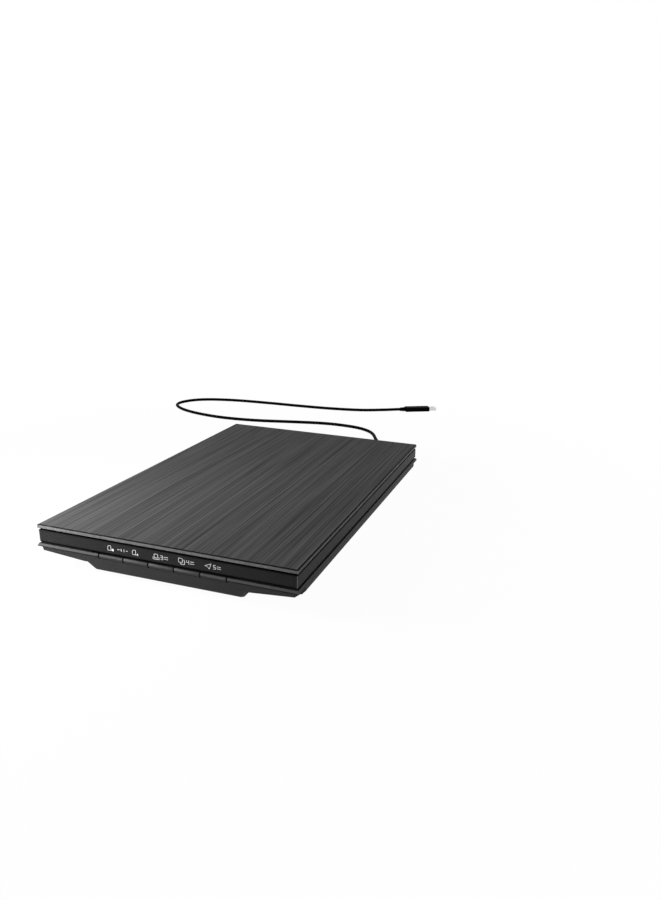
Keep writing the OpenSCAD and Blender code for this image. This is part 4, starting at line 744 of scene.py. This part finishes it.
# %% Electronics finishes
board_mat, tree, shader = finish("board_green", Specular_IOR_Level=0.5)
traces = place_group(tree, TRACES, Lacquer=(0.008, 0.075, 0.035, 1), Copper=(0.025, 0.16, 0.075, 1), Scale=300.0)
haze = place_group(tree, HAZE, Roughness=0.32, Spread=0.15, Clouds_per_Metre=60.0)
feed(tree, shader, Base_Color=traces["Color"], Roughness=haze["Roughness"])
bumped(tree, shader, traces["Height"], 0.3, 0.00004)

ribbon_mat, tree, shader = finish("flat_cable_white", Specular_IOR_Level=0.4)
strips = stripes(tree, 160.0)
line = spread(tree, strips, 0.35, 0.7)
film, strip_grey = grey(0.72, (1.0, 0.985, 0.94)), grey(0.46, (1.0, 0.98, 0.95))
feed(tree, shader, Base_Color=blend_colour(tree, line, film, strip_grey),
     Roughness=spread(tree, strips, 0.0, 1.0, 0.36, 0.5))
bumped(tree, shader, line, 0.3, 0.00005)
print("electronics:", board_mat.name, ribbon_mat.name)

# %% [markdown]
# ## Dressing the solids
# Each solid names a slot in the record, and each slot has a finish. The lid and the case have their chamfers in the
# solids. On 22 other pieces a narrow bevel, added as a modifier, rounds the edges by one to three tenths of a
# millimetre: no real edge is perfectly sharp, and the rounding catches light. A solid comes as triangles, so those of
# a flat face are joined first. Otherwise the bevel would have to stop at their narrow tips.

# %% Assign the finishes
SLOTS = {
    "lid": lid_mat, "band": band_mat, "panel": panel_mat, "shell": shell_mat, "key": key_mat,
    "inner_plastic": inner_mat, "white_plastic": acetal_mat, "white_sheet": sheet_mat, "foam": foam_mat,
    "clear_glass": glass_mat, "clear_plastic": guide_mat, "lens": lens_mat, "tape": tape_mat,
    "black_rubber": rubber_mat, "cable_black": vinyl_mat, "steel": steel_mat, "dark_steel": dark_steel_mat,
    "motor_steel": motor_mat, "plated_steel": nickel_mat, "bearing_brass": brass_mat, "circuit_board": board_mat,
    "chip": chip_mat, "flat_cable": ribbon_mat,
}


def dress(obj, mat):
    """Gives an object one finish, on the object and not on its mesh."""
    if not obj.material_slots:
        obj.data.materials.append(mat)
    for at in obj.material_slots:
        at.link = "OBJECT"
        at.material = mat


for part in frame["record"]["subparts"]:
    dress(nodes[part["node"]], SLOTS[part["material_slot"]])
dress(cable, vinyl_mat)

# %% Round the edges
EDGE_MM = {
    0.12: ("usb_a_shell",),
    0.15: ("front_panel", "key_1", "key_2", "key_3", "key_4", "key_5", "light_guide", "lens_array", "board_chips"),
    0.2: ("lid_tray", "hinge_leg_left", "hinge_leg_right", "platen_glass", "stepper_motor", "sensor_window",
          "usb_a_tongue", "rod_bushes"),
    0.3: ("lid_bumpers", "rubber_feet", "hinge_pins", "guide_rod"),
}
SAME_POINT, SAME_PLANE, SHARP = 0.002 * MM, math.radians(0.5), math.radians(35)
for width, names in EDGE_MM.items():
    for solid in (nodes[name] for name in names):
        weld = solid.modifiers.new("join_corners", "WELD")
        weld.merge_threshold = SAME_POINT
        flat = solid.modifiers.new("join_flat_faces", "DECIMATE")
        flat.decimate_type = "DISSOLVE"
        flat.angle_limit = SAME_PLANE
        bevel = solid.modifiers.new("soft_edges", "BEVEL")
        bevel.width = width * MM
        bevel.segments = 2
        bevel.limit_method = "ANGLE"
        bevel.angle_limit = SHARP
        bevel.use_clamp_overlap = False
        bevel.loop_slide = False
print("rounded", sum(len(names) for names in EDGE_MM.values()), "solids")

# %% [markdown]
# ## The signs on the front panel
# Small white signs are printed on the panel, one over each key. They are plain marks made for this model: simple
# figures, and a number with two short lines beside the last three. Each is drawn as flat strokes in millimetres, three
# hundredths of a millimetre in front of the panel, and a modifier thickens them back to it, so that the ink is a
# closed layer.

# %% Strokes for the signs
panel_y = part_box("front_panel")[0][1] / MM
sign_z, key_pitch = 31.2, 24.6
INK_FRONT, INK_DEPTH = 0.03, 0.028
SIGN_LINE, DASH_LINE = 0.42, 0.5
ink = bmesh.new()


def ink_polygon(points):
    """One flat patch of ink, given as (x, z) points in millimetres."""
    ink.faces.new([ink.verts.new((x * MM, (panel_y - INK_FRONT) * MM, z * MM)) for x, z in points])


def stroke(x0, z0, x1, z1, width=SIGN_LINE):
    """A straight line of ink between two points."""
    run = Vector((x1 - x0, z1 - z0)).normalized()
    off, past = Vector((-run.y, run.x)) * width / 2, run * width / 2
    a, b = Vector((x0, z0)) - past, Vector((x1, z1)) + past
    ink_polygon([a - off, b - off, b + off, a + off])


def outline(points, closed=True):
    """Strokes from point to point, and back to the first one when closed."""
    for a, b in zip(points, points[1:] + points[:1] if closed else points[1:]):
        stroke(*a, *b)


def page(x, z):
    """A sheet with a cut corner."""
    outline([(x - 2.6, z - 1.9), (x - 2.6, z + 1.2), (x - 1.4, z + 2.4), (x + 0.6, z + 2.4), (x + 0.6, z - 1.9)])


def square(x, z, side):
    """A square frame round a point."""
    h = side / 2
    outline([(x - h, z - h), (x + h, z - h), (x + h, z + h), (x - h, z + h)])


DIGIT_BARS = {3: "abgcd", 4: "fgbc", 5: "afgcd"}


def digit(number, x, z, w=1.9, h=3.4):
    """A number of straight bars, as on a simple display."""
    low, mid, high = z - h / 2, z, z + h / 2
    bars = {"a": (x, high, x + w, high), "g": (x, mid, x + w, mid), "d": (x, low, x + w, low), "f": (x, mid, x, high),
            "b": (x + w, mid, x + w, high), "c": (x + w, low, x + w, mid)}
    for name in DIGIT_BARS[number]:
        stroke(*bars[name])


print("panel face at y =", round(panel_y, 2), "mm")

# %% Draw the signs
z = sign_z
x = -2 * key_pitch
page(x, z)
ink_polygon([(x + 1.2, z - 2.2), (x + 3.2, z - 2.2), (x + 3.2, z - 0.2), (x + 1.2, z - 0.2)])
x = -1.5 * key_pitch
for side in (-1, 1):
    dash_x, bar_x = x + side * 4.2, x + side * 1.4
    stroke(dash_x - 0.7, z, dash_x + 0.7, z, DASH_LINE)
    stroke(bar_x, z - 0.9, bar_x, z + 0.9, DASH_LINE)
x = -key_pitch
page(x, z)
ink_polygon([(x + 1.2, z - 2.2), (x + 3.4, z - 2.2), (x + 2.3, z - 0.1)])
x = -4.2
square(x, z + 0.6, 3.4)
outline([(x - 2.9, z - 0.4), (x - 2.9, z - 2.4), (x + 2.9, z - 2.4), (x + 2.9, z - 0.4)], closed=False)
x = key_pitch - 4.6
square(x - 0.9, z + 0.9, 3.6)
outline([(x + 1.9, z + 1.4), (x + 2.9, z + 1.4), (x + 2.9, z - 2.5), (x - 1.2, z - 2.5), (x - 1.2, z - 1.8)],
        closed=False)
x = 2 * key_pitch - 4.6
outline([(x - 2.8, z + 0.1), (x + 2.9, z + 2.5), (x + 1.2, z - 2.5), (x - 0.4, z - 0.6)])
for number in DIGIT_BARS:
    x = (number - 3) * key_pitch + 0.4
    digit(number, x, z)
    for level in (z - 0.9, z + 0.9):
        stroke(x + 3.4, level, x + 6.6, level)

bmesh.ops.recalc_face_normals(ink, faces=ink.faces)
for face in ink.faces:
    if face.normal.y > 0:
        face.normal_flip()
signs = new_piece("panel_signs", ink)
layer = signs.modifiers.new("ink_layer", "SOLIDIFY")
layer.thickness = INK_DEPTH * MM
layer.offset = -1.0
dress(signs, moulded("printed_white", 0.70, 0.78, 0.5, 2600.0, 0.05, 0.00002))
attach(signs, "case")
print("signs:", len(signs.data.polygons), "patches of ink")

# %% [markdown]
# ## The foam of the document pad
# Under the lid a sheet of soft foam presses the paper on the glass. The solid is a plain slab. The real one is cut
# with a blade and has been pressed: its edges are slightly drawn in and rounded, and one side has shallow dips. A grid
# whose outer row is drawn in gives that, and a narrow bevel rounds its edges.

# %% Foam pad
low, high = (Vector(c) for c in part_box("pad_foam"))
across, along = 24, 32
deepest_dip, drawn_in_share, plain_border = 0.12 * MM, 0.0004, 0.02
pad = bmesh.new()
rows = {}
for side, z in ((0, low.z), (1, high.z)):
    for i in range(across + 1):
        for j in range(along + 1):
            u, v = i / across, j / along
            inside = min(u, 1 - u, v, 1 - v)
            x = low.x + (high.x - low.x) * u
            y = low.y + (high.y - low.y) * v
            dip = deepest_dip * math.sin(13 * u + 4 * v) * math.sin(9 * v) if inside > plain_border and side else 0.0
            kept = 1 - drawn_in_share if inside < 1e-6 else 1.0
            rows[side, i, j] = pad.verts.new((x * kept, y * kept, z - abs(dip)))
for side in (0, 1):
    for i in range(across):
        for j in range(along):
            corners = [rows[side, i, j], rows[side, i + 1, j], rows[side, i + 1, j + 1], rows[side, i, j + 1]]
            pad.faces.new(corners if side else corners[::-1])
border = ([(i, 0) for i in range(across)] + [(across, j) for j in range(along)]
          + [(i, along) for i in range(across, 0, -1)] + [(0, j) for j in range(along, 0, -1)])
for (i, j), (k, m) in zip(border, border[1:] + border[:1]):
    pad.faces.new([rows[0, i, j], rows[0, k, m], rows[1, k, m], rows[1, i, j]])
foam = new_piece("document_pad_foam", pad)
soft = foam.modifiers.new("soft_edges", "BEVEL")
soft.width = 0.3 * MM
soft.segments = 2
soft.limit_method = "ANGLE"
dress(foam, foam_mat)
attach(foam, "lid")
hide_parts("pad_foam")
print("foam pad:", len(foam.data.polygons), "faces")

# %% [markdown]
# ## The flat cable to the scan head
# One end of this cable is held on the floor of the case, the other hangs on the scan head and travels with it. A rigid
# strip would tear off. The strip is built with many cross lines, along a line that runs from the head down to the floor
# and up to the board.

# %% Line of the ribbon
ribbon_low, ribbon_high = (Vector(c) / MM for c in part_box("head_ribbon"))
ribbon_x, ribbon_half = (ribbon_low.x + ribbon_high.x) / 2, (ribbon_high.x - ribbon_low.x) / 2
ribbon_t, cross_line_gap = 0.3, 4.0
lying_z, socket_z, rise_z = ribbon_low.z + ribbon_t / 2, 16.05, 14.5
head_y, hold_y, board_y = ribbon_low.y, 3.5, ribbon_high.y - 0.9
head_hold_y = head_y + 8
ribbon_line = [(head_y, ribbon_high.z - 0.15), (head_hold_y, ribbon_high.z - 0.45), (hold_y, lying_z),
               (board_y - 8, lying_z), (board_y - 0.15, rise_z), (board_y - 0.15, socket_z), (board_y + 0.9, socket_z)]
dense = []
for (y0, z0), (y1, z1) in zip(ribbon_line, ribbon_line[1:]):
    count = max(2, int(math.hypot(y1 - y0, z1 - z0) / cross_line_gap))
    for k in range(count):
        s = k / count
        ease = s * s * (3 - 2 * s) if (y0, y1) == (head_hold_y, hold_y) else s
        dense.append((y0 + (y1 - y0) * s, z0 + (z1 - z0) * ease))
dense.append(ribbon_line[-1])
print("ribbon:", len(dense), "cross lines")

# %% Head ribbon
strip = bmesh.new()
cells = 6
strip_x = [ribbon_x + ribbon_half * (2 * k / cells - 1) for k in range(cells + 1)]
rows = []
for i, (y, z) in enumerate(dense):
    before, after = dense[max(0, i - 1)], dense[min(len(dense) - 1, i + 1)]
    run = Vector((0, after[0] - before[0], after[1] - before[1])).normalized()
    up = Vector((0, -run.z, run.y)) * ribbon_t / 2
    rows.append([[strip.verts.new((Vector((x, y, z)) + side * up) * MM) for x in strip_x] for side in (-1, 1)])
for a, b in zip(rows, rows[1:]):
    for k in range(cells):
        strip.faces.new([a[1][k], a[1][k + 1], b[1][k + 1], b[1][k]])
        strip.faces.new([a[0][k + 1], a[0][k], b[0][k], b[0][k + 1]])
    strip.faces.new([a[0][0], a[1][0], b[1][0], b[0][0]])
    strip.faces.new([a[1][cells], a[0][cells], b[0][cells], b[1][cells]])
for end, order in ((rows[0], 1), (rows[-1], -1)):
    for k in range(cells):
        quad = [end[0][k], end[0][k + 1], end[1][k + 1], end[1][k]]
        strip.faces.new(quad[::order])
ribbon = new_piece("head_flat_cable", strip, smooth=True)
dress(ribbon, ribbon_mat)
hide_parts("head_ribbon")
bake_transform(ribbon)
print("ribbon:", len(ribbon.data.polygons), "faces")

# %% [markdown]
# ## Screws
# The solids hold the screws as a shank and a plain head. A real small screw has a crowned head with a cross recess,
# which shows wherever the underside is seen. The head is turned from a profile, and the cross is a tapered cup that is
# let into the crown.

# %% Cross-head screws


def cross_screws(name, places, head_r, head_h, shank_r, shank_l, seat, up, mat):
    """Screws with a crowned head and a cross recess; up is 1 for a head that looks up, -1 for one that looks down."""
    made = bmesh.new()
    steps = 32
    arm, half = head_r * 0.56, head_r * 0.13
    profile = [(shank_r, -shank_l), (shank_r, 0.0), (head_r * 0.97, 0.0), (head_r, head_h * 0.25),
               (head_r * 0.97, head_h * 0.6), (head_r * 0.84, head_h * 0.85), (head_r * 0.64, head_h)]
    cross = [(arm, -half), (arm, half), (half, half), (half, arm), (-half, arm), (-half, half), (-arm, half),
             (-arm, -half), (-half, -half), (-half, -arm), (half, -arm), (half, -half)]
    turns = [2 * math.pi * k / steps for k in range(steps)]
    for x, y in places:
        def at(px, py, pz):
            return made.verts.new((x * MM + px * MM, y * MM + py * MM * up, (seat + up * pz) * MM))

        loops = [[at(r * math.cos(a), r * math.sin(a), h) for a in turns] for r, h in profile]
        for a, b in zip(loops, loops[1:]):
            for k in range(steps):
                made.faces.new([a[k], a[(k + 1) % steps], b[(k + 1) % steps], b[k]])
        made.faces.new(loops[0][::-1])
        rim = [at(px, py, head_h) for px, py in cross]
        deep = [at(px * 0.7, py * 0.7, head_h * 0.35) for px, py in cross]
        edges = [made.edges.get((loops[-1][k], loops[-1][(k + 1) % steps])) for k in range(steps)]
        edges += [made.edges.new(pair) for pair in zip(rim, rim[1:] + rim[:1])]
        bmesh.ops.triangle_fill(made, use_beauty=True, use_dissolve=False, edges=edges)
        for k in range(len(cross)):
            after = (k + 1) % len(cross)
            made.faces.new([rim[after], rim[k], deep[k], deep[after]])
        made.faces.new(deep)
    bmesh.ops.recalc_face_normals(made, faces=made.faces)
    obj = new_piece(name, made)
    dress(obj, mat)
    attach(obj, "case")
    return obj


case_screw = {"head_r": 2.8, "head_h": 1.8, "shank_r": 1.45, "up": -1, "mat": dark_steel_mat}
rack_screw = {"head_r": 2.3, "head_h": 1.2, "shank_r": 1.2, "up": 1, "mat": steel_mat}
front_places = [(-106, -174.5), (106, -174.5)]
rear_places = [(-112, 168), (112, 168)]
rack_places = [(40.1, -147), (40.1, -4.5), (40.1, 138)]
screws_front = cross_screws("case_screws_front", front_places, shank_l=10.78, seat=18.22, **case_screw)
screws_rear = cross_screws("case_screws_rear", rear_places, shank_l=16.2, seat=12.8, **case_screw)
screws_rack = cross_screws("rack_cross_screws", rack_places, shank_l=3.3, seat=8.5, **rack_screw)
for piece in (screws_front, screws_rear):
    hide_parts("case_screws")
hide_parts("rack_screws")
print("screws:", sum(len(o.data.polygons) for o in (screws_front, screws_rear, screws_rack)), "faces")

# %% [markdown]
# ## Contacts in the far plug
# On the white tongue inside the metal shell lie four gold contacts, the outer two longer than the inner two. They are
# thin strips with a chamfered end, set in the frame of the plug.

# %% Plug contacts
contact = bmesh.new()
shell_end = relief_l + far_grip_l + shell_l
plug_frame = Matrix.Translation(far_plug) @ Matrix.Rotation(far_turn, 4, "Z")
for y, short in ((-3.5, 0.0), (-1.0, 1.0), (1.0, 1.0), (3.5, 0.0)):
    x0, x1 = shell_end - 8.4, shell_end - 1.6 - short
    shape = [(x0, y - 0.5), (x1 - 0.4, y - 0.5), (x1, y - 0.3), (x1, y + 0.3), (x1 - 0.4, y + 0.5), (x0, y + 0.5)]
    under, upper = ([contact.verts.new((plug_frame @ Vector((px, py, z))) * MM) for px, py in shape]
                    for z in (-0.1, 0.05))
    contact.faces.new(upper)
    contact.faces.new(under[::-1])
    for k in range(len(shape)):
        after = (k + 1) % len(shape)
        contact.faces.new([under[k], under[after], upper[after], upper[k]])
contacts = new_piece("plug_contacts", contact)
dress(contacts, gold_mat)
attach(contacts, "case")
print("contacts:", len(contacts.data.polygons), "faces")
